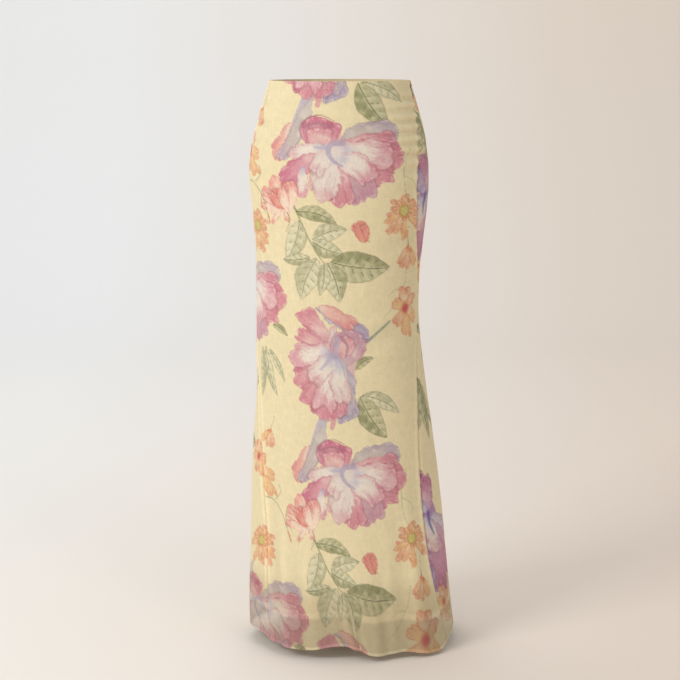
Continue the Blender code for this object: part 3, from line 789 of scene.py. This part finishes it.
def crease_relief(t, angle, down, radius):
    """How far the creases push the cloth out, in metres."""
    relief = np.zeros(np.broadcast(t, angle).shape)
    for i, (angle0, down0, angle1, down1, half, depth) in enumerate(DRAG_LINES + CREASES):
        turn = np.radians((angle - angle0 + 180) % 360 - 180) * radius
        run_x = math.radians((angle1 - angle0 + 180) % 360 - 180) * SLANT_RADIUS
        run_y = down1 - down0
        length = math.hypot(run_x, run_y)
        turn = turn * SLANT_RADIUS / np.maximum(radius, 0.05)
        along = (turn * run_x + (down - down0) * run_y) / length ** 2
        held = np.clip(along, 0, 1)
        wander = 0.25 * half / 1000 * np.sin(5.0 * along + down0 * 40)
        away = np.hypot(turn - held * run_x + wander, down - down0 - held * run_y) / (half / 1000)
        fade = np.sin(math.pi * np.clip(0.06 + 0.90 * held, 0, 1)) ** 0.7
        if i < len(DRAG_LINES):
            fade = rise(-0.10, 0.10, along) * (1 - held) ** 0.9
        elif down1 > 1.0:           # it runs out at the hem, at its full depth
            fade = np.minimum(1.0, 1.6 * held) ** 1.2
        shape = np.exp(-away ** 2) - 0.45 * np.exp(-(away - 1.9) ** 2 * 1.6)
        relief -= depth / 1000 * fade * shape
    return relief


def seam_relief(t, angle, down, radius):
    """The dip, turned edges and slight puckering at each side seam."""
    relief = 0.0
    for which in ("zip", "plain"):
        away = outer.from_seam(which, t, angle, radius)
        deeper = 1.35 if which == "zip" else 1.0
        relief = relief - 0.0013 * deeper * np.exp(-(away / 0.0016) ** 2)
        relief = relief + 0.00120 * np.exp(-((away - 0.0056) / 0.0032) ** 2)
        pucker = np.sin(down * 2 * math.pi / 0.017 + 2.2 * np.sin(down * 23)) * np.sin(down * 61 + 1.0)
        relief = relief + 0.00045 * pucker * np.exp(-(away / 0.011) ** 2)
    return relief


def outer_relief(t, angle):
    """All that the worn cloth adds to its plain form: creases, seams, edges and a slight unevenness."""
    down = outer.top_down(t)
    angle = np.asarray(angle, float)
    radius = outer.radius_at(t, angle)
    relief = crease_relief(t, angle, down, radius) + seam_relief(t, angle, down, radius)
    # drawn in along the waist's stitches, over its edge and along the hem's stitches
    relief = relief - 0.00045 * np.exp(-((down - FACING_LINE) / 0.0011) ** 2)
    relief = relief - 0.00050 * np.exp(-(down / 0.0011) ** 2)
    up = (1 - np.asarray(t)) * outer.length
    relief = relief - 0.00040 * np.exp(-((up - HEM_TURN) / 0.0011) ** 2)
    relief = relief + 0.00030 * rise(0.0042, 0.0026, up)
    turn = np.radians(angle)
    relief = relief + 0.00022 * np.sin(7 * turn + 31 * down) * np.sin(47 * down + 3 * np.sin(2 * turn))
    relief = relief + 0.00014 * np.sin(19 * turn - 26 * down) * np.sin(83 * down + 5 * np.sin(3 * turn))
    return relief


# ------------------------------------------------------------------ making meshes
COLLECTION = bpy.data.collections.new("maxi_skirt_looks")
bpy.context.scene.collection.children.link(COLLECTION)


def new_object(name, points, faces, materials, slots=None, smooth_under=50):
    """A mesh object, smooth but for edges sharper than this many degrees."""
    mesh = bpy.data.meshes.new(name)
    mesh.from_pydata([tuple(p) for p in points], [], faces)
    mesh.validate()
    for material in materials:
        mesh.materials.append(material)
    if slots is not None:
        mesh.polygons.foreach_set("material_index", np.asarray(slots, dtype=np.int32))
    mesh.polygons.foreach_set("use_smooth", [True] * len(mesh.polygons))
    mesh.set_sharp_from_angle(angle=math.radians(smooth_under))
    mesh.update()
    made = bpy.data.objects.new(name, mesh)
    COLLECTION.objects.link(made)
    return made


def shell(name, outside, inside, materials, slot_of=None, step=COARSE):
    """A closed wall of cloth: a fine outer face, a coarser inner one, and the four edges between."""
    rows, columns = outside.shape[0] - 1, outside.shape[1] - 1
    inside = inside[::step, ::step]
    in_rows, in_columns = rows // step, columns // step
    points = np.concatenate([outside.reshape(-1, 3), inside.reshape(-1, 3)])
    start = (rows + 1) * (columns + 1)

    def out_at(r, c):
        return r * (columns + 1) + c

    def in_at(r, c):
        return start + r * (in_columns + 1) + c

    faces = [(out_at(r, c), out_at(r + 1, c), out_at(r + 1, c + 1), out_at(r, c + 1))
             for r in range(rows) for c in range(columns)]
    faces += [(in_at(r, c), in_at(r, c + 1), in_at(r + 1, c + 1), in_at(r + 1, c))
              for r in range(in_rows) for c in range(in_columns)]
    for c in range(in_columns):
        fine = range(c * step, (c + 1) * step + 1)
        faces.append([out_at(0, i) for i in fine] + [in_at(0, c + 1), in_at(0, c)])
        faces.append([out_at(rows, i) for i in reversed(fine)] + [in_at(in_rows, c), in_at(in_rows, c + 1)])
    for r in range(in_rows):
        fine = range(r * step, (r + 1) * step + 1)
        faces.append([out_at(i, 0) for i in reversed(fine)] + [in_at(r, 0), in_at(r + 1, 0)])
        faces.append([out_at(i, columns) for i in fine] + [in_at(r + 1, in_columns), in_at(r, in_columns)])
    slots = [slot_of(face) for face in faces] if slot_of else None
    return new_object(name, points, faces, materials, slots)


def colour_points(piece, colours):
    """The print's colour at each point of the mesh, with any painted shade and highlights laid on it, which
    its material reads.
    """
    layer = piece.data.color_attributes.new("print", "FLOAT_COLOR", "POINT")
    rgba = np.ones((len(colours), 4), dtype=np.float32)
    rgba[:, :3] = colours
    layer.data.foreach_set("color", rgba.ravel())


def thin_points(piece, values):
    """How see-through the cloth is at each point of the mesh, from 0 to 1."""
    layer = piece.data.attributes.new("sheer", "FLOAT", "POINT")
    layer.data.foreach_set("value", np.asarray(values, dtype=np.float32))


def panel_angles(t, panel, layer=outer):
    """The two edges of a panel at these levels, a seam's gap inside its seams."""
    gap = np.degrees(SEAM_GAP / layer.radius_at(t, np.full_like(t, 90.0)))
    zip_edge, plain_edge = layer.seam("zip", t), layer.seam("plain", t)
    if panel == "front":            # from the plain seam round to the zip
        return plain_edge + gap, zip_edge - gap
    return zip_edge + gap, plain_edge + 360 - gap


def grid_of(layer, panel, rows, columns, depth=1.0):
    """Shares of the length, down to this one, and angles over a panel, in even rows and columns."""
    t = np.linspace(0, depth, rows + 1)
    low, high = panel_angles(t, panel, layer)
    share = np.linspace(0, 1, columns + 1)
    angle = low[:, None] + (high - low)[:, None] * share[None, :]
    return np.broadcast_to(t[:, None], angle.shape), angle


def flat_place(panel, t, angle):
    """Where these points of a panel lie on the flat cloth."""
    down = outer.top_down(t) * 1.01
    if panel == "front":
        return outer.across(t, angle) / (PRINT_WIDE - PRINT_DRAWS_IN * down), down
    return outer.across(t, angle) - outer.across(t, np.full_like(angle, 180.0)), down


# ------------------------------------------------------------------ finishes
def display(red, green, blue):
    """A display colour, 0 to 255, as a linear one."""
    return tuple(c / 255 / 12.92 if c <= 10.3 else ((c / 255 + 0.055) / 1.055) ** 2.4
                 for c in (red, green, blue)) + (1.0,)


def new_material(name, roughness, metallic=0.0):
    material = bpy.data.materials.new(name)
    material.use_nodes = True
    shader = material.node_tree.nodes["Principled BSDF"]
    shader.inputs["Roughness"].default_value = roughness
    shader.inputs["Metallic"].default_value = metallic
    return material, material.node_tree.nodes, material.node_tree.links, shader


def noise_at(nodes, links, scale, detail=2.0, stretch=(1, 1, 1)):
    """Noise on the object's own coordinates, stretched along an axis where that is wanted."""
    place = nodes.new("ShaderNodeTexCoord")
    mapping = nodes.new("ShaderNodeMapping")
    mapping.inputs["Scale"].default_value = stretch
    noise = nodes.new("ShaderNodeTexNoise")
    noise.inputs["Scale"].default_value = scale
    noise.inputs["Detail"].default_value = detail
    links.new(place.outputs["Object"], mapping.inputs["Vector"])
    links.new(mapping.outputs["Vector"], noise.inputs["Vector"])
    return noise.outputs["Fac"]


def spread(nodes, links, value, low, high, to_low, to_high):
    """A number that runs between two limits, made to run between two others."""
    node = nodes.new("ShaderNodeMapRange")
    for name, number in (("From Min", low), ("From Max", high), ("To Min", to_low), ("To Max", to_high)):
        node.inputs[name].default_value = number
    links.new(value, node.inputs["Value"])
    return node.outputs["Result"]


def times(nodes, links, colour, value):
    """The colour made lighter or darker by a number at each point."""
    node = nodes.new("ShaderNodeVectorMath")
    node.operation = "SCALE"
    links.new(colour, node.inputs[0])
    links.new(value, node.inputs["Scale"])
    return node.outputs["Vector"]


def bump(nodes, links, height, strength, distance, before=None):
    node = nodes.new("ShaderNodeBump")
    node.inputs["Strength"].default_value = strength
    node.inputs["Distance"].default_value = distance
    links.new(height, node.inputs["Height"])
    if before is not None:
        links.new(before, node.inputs["Normal"])
    return node.outputs["Normal"]


def crepe(name, sheer):
    """Printed crepe: the print, with any shade and highlights painted into it, in slightly uneven dye, a
    pebbled grain and a soft bloom of light.
    """
    material, nodes, links, shader = new_material(name, 0.74)
    printed = nodes.new("ShaderNodeAttribute")
    printed.attribute_name = "print"
    dye = spread(nodes, links, noise_at(nodes, links, 95, 3.0), 0.25, 0.75, 0.955, 1.035)
    slub = spread(nodes, links, noise_at(nodes, links, 420, 2.0, (1, 1, 0.16)), 0.3, 0.7, 0.965, 1.03)
    picks = spread(nodes, links, noise_at(nodes, links, 420, 2.0, (0.14, 0.14, 1)), 0.3, 0.7, 0.98, 1.02)
    grain = noise_at(nodes, links, 900, 2.0)
    speck = spread(nodes, links, grain, 0.3, 0.7, 0.965, 1.03)
    colour = printed.outputs["Color"]
    for value in (dye, slub, picks, speck):
        colour = times(nodes, links, colour, value)
    links.new(colour, shader.inputs["Base Color"])
    normal = bump(nodes, links, grain, 0.35, 0.00035)
    links.new(bump(nodes, links, noise_at(nodes, links, 60, 2.0), 0.25, 0.0012, normal),
              shader.inputs["Normal"])
    shader.inputs["Sheen Weight"].default_value = 0.18
    shader.inputs["Sheen Roughness"].default_value = 0.45
    shader.inputs["Sheen Tint"].default_value = display(255, 248, 232)
    shader.inputs["Specular IOR Level"].default_value = 0.25
    if sheer:
        reach = nodes.new("ShaderNodeAttribute")
        reach.attribute_name = "sheer"
        links.new(spread(nodes, links, reach.outputs["Fac"], 0, 1, 1.0, 0.60), shader.inputs["Alpha"])
    return material


def plain_cloth(name, colour, roughness, sheen, scale, strength):
    """Plain woven cloth with a fine thread and slightly uneven tone."""
    material, nodes, links, shader = new_material(name, roughness)
    base = nodes.new("ShaderNodeRGB")
    base.outputs[0].default_value = colour
    tone = spread(nodes, links, noise_at(nodes, links, 40, 3.0), 0.25, 0.75, 0.95, 1.04)
    thread = noise_at(nodes, links, scale, 1.0, (1, 1, 0.2))
    fine = spread(nodes, links, thread, 0.3, 0.7, 0.96, 1.03)
    toned = times(nodes, links, base.outputs[0], tone)
    links.new(times(nodes, links, toned, fine), shader.inputs["Base Color"])
    links.new(bump(nodes, links, thread, strength, 0.0003), shader.inputs["Normal"])
    shader.inputs["Sheen Weight"].default_value = sheen
    shader.inputs["Specular IOR Level"].default_value = 0.3
    return material


def dull_metal(name, colour, roughness):
    """Lacquered zip metal, rubbed a little brighter in places."""
    material, nodes, links, shader = new_material(name, roughness, metallic=0.55)
    base = nodes.new("ShaderNodeRGB")
    base.outputs[0].default_value = colour
    rub = spread(nodes, links, noise_at(nodes, links, 260, 3.0), 0.3, 0.7, 0.82, 1.15)
    links.new(times(nodes, links, base.outputs[0], rub), shader.inputs["Base Color"])
    worn = noise_at(nodes, links, 500, 2.0)
    links.new(spread(nodes, links, worn, 0.3, 0.7, roughness - 0.08, roughness + 0.12),
              shader.inputs["Roughness"])
    links.new(bump(nodes, links, noise_at(nodes, links, 1400, 1.0), 0.12, 0.0001), shader.inputs["Normal"])
    return material


CREPE = crepe("printed_crepe", sheer=False)
SHEER_CREPE = crepe("printed_crepe_below_lining", sheer=True)
LINING = plain_cloth("lining_satin", display(236, 220, 180), 0.5, 0.10, 700, 0.2)
TAPE = plain_cloth("zip_tape_weave", display(214, 200, 162), 0.8, 0.15, 900, 0.4)
THREAD = plain_cloth("sewing_thread", display(232, 216, 172), 0.6, 0.2, 1800, 0.3)
COIL = plain_cloth("zip_coil_nylon", display(206, 194, 164), 0.4, 0.0, 1500, 0.1)
ZIP_METAL = dull_metal("lacquered_zip_metal", display(196, 184, 160), 0.40)


# ------------------------------------------------------------------ the cloth pieces
def seam_shade_and_highlight(t, angle):
    """Painted shade that darkens the seams, and a painted highlight a little lighter along the turned edges
    beside them, where they catch the light.
    """
    radius = outer.radius_at(t, angle)
    tone = np.ones(angle.shape)
    for which in ("zip", "plain"):
        away = outer.from_seam(which, t, angle, radius)
        tone -= 0.12 * np.exp(-(away / 0.0014) ** 2)
        tone += 0.15 * np.exp(-((away - 0.0058) / 0.0034) ** 2) * (1.0 if which == "plain" else 0.4)
    return tone


def outer_panel(panel, grid, layout):
    """The printed crepe of one panel, see-through a little below the lining's hem."""
    rows, columns = grid
    t, angle = grid_of(outer, panel, rows, columns)
    relief = outer_relief(t, angle)
    up, down = (1 - t) * outer.length, t * outer.length
    wall = WALL + 0.0006 * rise(0.0052, 0.0040, up) + 0.0003 * rise(0.0030, 0.0010, down)
    outside, inside = outer.at(t, angle, relief), outer.at(t, angle, relief - wall)
    limit = inner.length - SHEER_FROM
    sheer = rise(limit, inner.length - SHEER_FULL, down) * rise(0.0040, 0.0052, up)

    in_t, in_angle = t[::COARSE, ::COARSE], angle[::COARSE, ::COARSE]
    level = np.concatenate([down.ravel(), down[::COARSE, ::COARSE].ravel()])

    def slot_of(face):
        return 1 if level[face[0]] > limit and level[face[2]] > limit else 0

    piece = shell(panel + "_panel_cloth", outside, inside, [CREPE, SHEER_CREPE], slot_of)
    face_colours = print_cloth(*flat_place(panel, t, angle), layout)
    back_print = print_cloth(*flat_place(panel, in_t, in_angle), layout)
    plain = print_cloth(np.zeros(1), np.zeros(1), ())[0]
    back_print = 0.45 * back_print + 0.55 * plain      # the print is fainter on the wrong side
    # painted shade below the lining, where the dim inside shows through the thin cloth; painted shade in the
    # seams and painted highlight beside them
    see_through_shade = 1 - 0.21 * rise(inner.length - 0.002, inner.length + 0.003, down)
    # painted light: a little lighter just above the lining's hem, where its turned hem lies behind the cloth
    turned = 1 + 0.06 * rise(inner.length - 0.013, inner.length - 0.010, down) * (see_through_shade > 0.99)
    # less light reaches into the creases, and more falls on the ridges beside them
    creases = crease_relief(t, angle, outer.top_down(t), outer.radius_at(t, angle))
    folds = np.clip(1 + 26 * creases, 0.87, 1.06)
    # the painted shade and highlights are multiplied into the print's colour here
    face_colours = face_colours * (see_through_shade * turned * folds * seam_shade_and_highlight(t, angle)).reshape(-1, 1)
    colour_points(piece, np.concatenate([face_colours, back_print]))
    thin_points(piece, np.concatenate([sheer.ravel(), sheer[::COARSE, ::COARSE].ravel()]))
    return piece


def lining_panel(panel):
    """The plain lining of one panel, with soft flutes low down and a turned hem."""
    rows, columns = LINING_GRID
    t, angle = grid_of(inner, panel, rows, columns)
    down, up = inner.top_down(t), (1 - t) * inner.length
    folds = 0.0007 * np.sin(np.radians(angle) * 9 + 4 * down) * rise(0.5, 0.9, down)
    out = folds - 0.0004
    outside = inner.at(t, angle, out)
    wall = LINING_WALL + 0.0007 * rise(0.0110, 0.0095, up)
    inside = inner.at(t, angle, out - wall)
    return shell(panel + "_lining_cloth", outside, inside, [LINING], step=1)


def waist_facing(panel):
    """The strip of crepe that finishes the waist inside."""
    rows, columns = FACING_GRID
    t, angle = grid_of(outer, panel, rows, columns, FACING_DEPTH / outer.length)
    relief = outer_relief(t, angle) - WALL - 0.0005
    outside, inside = outer.at(t, angle, relief), outer.at(t, angle, relief - 0.0005)
    outside[..., 2] -= 0.0004 * (1 - t * outer.length / FACING_DEPTH)
    piece = shell(panel + "_waist_facing_cloth", outside, inside, [CREPE], step=1)
    colours = print_cloth(outer.across(t, angle), 0.30 + outer.top_down(t), FRONT_LAYOUT)
    colour_points(piece, np.concatenate([colours, colours]))
    return piece


# ------------------------------------------------------------------ stitches and the zip
def deselect():
    bpy.ops.object.select_all(action="DESELECT")


def take_pattern(made):
    """The points and faces of a small modelled piece, which is then removed."""
    mesh = made.data
    points = np.array([v.co[:] for v in mesh.vertices])
    faces = [tuple(p.vertices) for p in mesh.polygons]
    bpy.data.objects.remove(made, do_unlink=True)
    return points, faces


def stitch_pattern(length, thick):
    """One sunken run of thread: a bead drawn out, with its ends bent down into the cloth."""
    deselect()
    bpy.ops.mesh.primitive_uv_sphere_add(segments=6, ring_count=5, radius=0.5, location=(0, 0, 0),
                                         rotation=(0, math.radians(90), 0))
    made = bpy.context.active_object
    bpy.ops.object.transform_apply(location=False, rotation=True, scale=False)
    bpy.ops.object.mode_set(mode="EDIT")
    bpy.ops.transform.resize(value=(length, thick, thick))
    bpy.ops.object.mode_set(mode="OBJECT")
    for vertex in made.data.vertices:
        vertex.co.z -= 0.9 * thick * (2 * vertex.co.x / length) ** 2
    return take_pattern(made)


def repeat(name, pattern, places, material):
    """Copies of a small pattern at these places, joined: each place is a point and three directions."""
    points, faces = pattern
    all_points, all_faces = [], []
    for origin, along, across, out in places:
        start = len(all_points) * len(points)
        all_points.append(origin + points[:, :1] * along + points[:, 1:2] * across + points[:, 2:3] * out)
        all_faces += [tuple(start + i for i in face) for face in faces]
    return new_object(name, np.concatenate(all_points), all_faces, [material], smooth_under=180)


def unit(vector):
    return vector / np.linalg.norm(vector)


def stitch_places(level, angle, out):
    """Where stitches lie round the skirt, with the way along, across and out at each."""
    t = np.full_like(angle, level)
    lift = outer_relief(t, angle) + out
    here, ahead = outer.at(t, angle, lift), outer.at(t, angle + 0.4, lift)
    below = outer.at(t + 0.001, angle, lift)
    found = []
    for a, b, c in zip(here, ahead, below):
        along = unit(b - a)
        up = unit(np.cross(along, a - c))
        found.append((a, along, np.cross(up, along), up))
    return found


def stitch_row(name, panel, down_at, pitch, length, thick, out):
    """A row of stitches round one panel, at a depth below the waist or above the hem."""
    level = down_at / outer.length if down_at > 0 else 1 + down_at / outer.length
    low, high = (float(edge[0]) for edge in panel_angles(np.array([level]), panel))
    span = float(outer.across(level, high) - outer.across(level, low))
    count = int(span / pitch)
    angle = low + (high - low) * (np.arange(count) + 0.5) / count
    return repeat(name, stitch_pattern(length, thick), stitch_places(level, angle, out), THREAD)


def zip_tape_cloth():
    """The woven tape behind the left seam, from just under the waist edge."""
    rows, columns = 64, 12
    t = np.linspace(0.0015, ZIP_LENGTH, rows + 1)[:, None] / outer.length
    seam = outer.seam("zip", t)
    half = np.degrees(TAPE_HALF_WIDTH / outer.radius_at(t, seam))
    share = np.linspace(-1, 1, columns + 1)[None, :]
    angle = seam + half * share
    t = np.broadcast_to(t, angle.shape)
    out = -0.0021 - 0.0003 * np.exp(-(share / 0.16) ** 2) + 0 * angle
    return shell("zip_tape_cloth", outer.at(t, angle, out), outer.at(t, angle, out - 0.0005), [TAPE],
                 step=1)


def zip_coil():
    """The two rows of coil teeth, on the inner face of the tape."""
    deselect()
    bpy.ops.mesh.primitive_torus_add(major_segments=8, minor_segments=5, major_radius=COIL_RADIUS,
                                     minor_radius=0.00022, location=(0, 0, 0))
    made = bpy.context.active_object
    bpy.ops.object.mode_set(mode="EDIT")
    bpy.ops.transform.resize(value=(0.62, 1.5, 1.0))
    bpy.ops.object.mode_set(mode="OBJECT")
    pattern = take_pattern(made)
    places = []
    for i in range(int((ZIP_LENGTH - 0.026) / COIL_PITCH)):
        t = (COIL_FROM + i * COIL_PITCH) / outer.length
        seam = float(outer.seam("zip", t))
        side = 1 if i % 2 else -1
        angle = seam + side * math.degrees(COIL_RADIUS / float(outer.radius_at(t, seam)))
        a = outer.at(t, angle, -COIL_DEPTH)
        b = outer.at(t + 0.002, angle, -COIL_DEPTH)
        c = outer.at(t, angle + 0.3, -COIL_DEPTH)
        along, across = unit(b - a), unit(c - a)
        out = unit(np.cross(across, along))
        places.append((a, along, np.cross(out, along), out))
    return repeat("zip_coil_teeth", pattern, places, COIL)


# ------------------------------------------------------------------ the skirt put together
front_panel = outer_panel("front", FRONT_GRID, FRONT_LAYOUT)
back_panel = outer_panel("back", BACK_GRID, BACK_LAYOUT)
front_lining = lining_panel("front")
back_lining = lining_panel("back")
front_facing = waist_facing("front")
back_facing = waist_facing("back")
tape = zip_tape_cloth()
coil = zip_coil()
trims = [stitch_row(panel + "_" + where, panel, down, pitch, length, thick, out)
         for panel in ("front", "back")
         for where, down, pitch, length, thick, out in (
             ("waist_stitches", FACING_LINE, 0.0030, 0.0021, 0.00042, 0.00012),
             ("hem_stitches", -HEM_TURN, 0.0034, 0.0016, 0.00036, 0.00008))]

for piece, node, material_slot in (
        (front_panel, "front_panel", "printed_crepe"), (back_panel, "back_panel", "printed_crepe"),
        (front_lining, "lining_front", "lining_cloth"), (back_lining, "lining_back", "lining_cloth"),
        (front_facing, "waist_facing_front", "printed_crepe"),
        (back_facing, "waist_facing_back", "printed_crepe"), (tape, "zip_tape", "zip_tape")):
    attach(piece, "skirt")
    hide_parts(node)
for trim in trims:
    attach(trim, "skirt")
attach(coil, "skirt")
for node in ("zip_slider", "zip_pull"):
    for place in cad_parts[node].material_slots:
        place.material = ZIP_METAL


# ------------------------------------------------------------------ floor, light and camera
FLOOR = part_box("front_panel")[0][2] - 0.006


def backdrop():
    """A pale floor that curves up into a plain wall, well behind, painted darker and warmer to the right as
    shade away from the window light.
    """
    bend, bend_from = 1.2, 3.4
    profile = [(-6.0, 0.0), (bend_from, 0.0)]
    profile += [(bend_from + bend * math.sin(a), bend * (1 - math.cos(a)))
                for a in np.radians(np.linspace(9, 90, 10))]
    profile += [(bend_from + bend, 5.0)]
    points = [(x, y, FLOOR + z) for y, z in profile for x in (-6.0, 6.0)]
    faces = [(2 * i, 2 * i + 1, 2 * i + 3, 2 * i + 2) for i in range(len(profile) - 1)]
    material, nodes, links, shader = new_material("studio_paper", 0.9)
    place = nodes.new("ShaderNodeTexCoord")
    split = nodes.new("ShaderNodeSeparateXYZ")
    links.new(place.outputs["Object"], split.inputs["Vector"])
    across = spread(nodes, links, split.outputs["X"], -0.9, 0.9, 0.0, 1.0)
    nearer = spread(nodes, links, split.outputs["Y"], 3.6, 0.4, 0.0, 1.0)
    wall, ground, paper = (nodes.new("ShaderNodeMix") for _ in range(3))
    for blend, share in ((wall, across), (ground, across), (paper, nearer)):
        blend.data_type = "RGBA"
        links.new(share, blend.inputs["Factor"])
    # painted shade: the wall and the floor run darker and warmer to the right, away from the window light
    for blend, left, right in ((wall, display(246, 247, 247), display(241, 231, 220)),
                               (ground, display(247, 244, 238), display(240, 224, 210))):
        blend.inputs["A"].default_value = left
        blend.inputs["B"].default_value = right
    links.new(wall.outputs["Result"], paper.inputs["A"])
    links.new(ground.outputs["Result"], paper.inputs["B"])
    links.new(paper.outputs["Result"], shader.inputs["Base Color"])
    return new_object("studio_sweep", np.array(points), faces, [material], smooth_under=180)


def soft_light(name, location, target, size, energy, colour):
    light = bpy.data.lights.new(name, "AREA")
    light.shape, light.size, light.energy, light.color = "SQUARE", size, energy, colour
    made = bpy.data.objects.new(name, light)
    made.location = location
    made.rotation_euler = (Vector(target) - Vector(location)).to_track_quat("-Z", "Y").to_euler()
    COLLECTION.objects.link(made)
    return made


backdrop()
soft_light("window_light", (-2.1, -2.0, 1.1), (0, 0, -0.35), 1.3, 45, (1.0, 0.985, 0.97))
soft_light("fill_light", (1.5, -2.3, 1.9), (0.12, 0, -0.2), 0.7, 7, (1.0, 0.95, 0.90))
soft_light("wall_light", (-0.8, 1.6, 3.0), (-0.4, 4.4, -0.6), 2.4, 54, (0.98, 0.99, 1.0))
world = bpy.data.worlds.new("studio_air")
world.use_nodes = True
world.node_tree.nodes["Background"].inputs["Color"].default_value = display(243, 243, 243)
world.node_tree.nodes["Background"].inputs["Strength"].default_value = 0.56
bpy.context.scene.world = world
bpy.context.scene.view_settings.view_transform = "Standard"

camera = bpy.data.cameras.new("camera")
camera.sensor_width = 36.0
camera.lens = 101.2
made_camera = bpy.data.objects.new("camera", camera)
made_camera.location = (0.0, -3.5, 0.08)
made_camera.rotation_euler = (math.radians(90 - 9.05), 0.0, 0.0)
COLLECTION.objects.link(made_camera)
bpy.context.scene.camera = made_camera
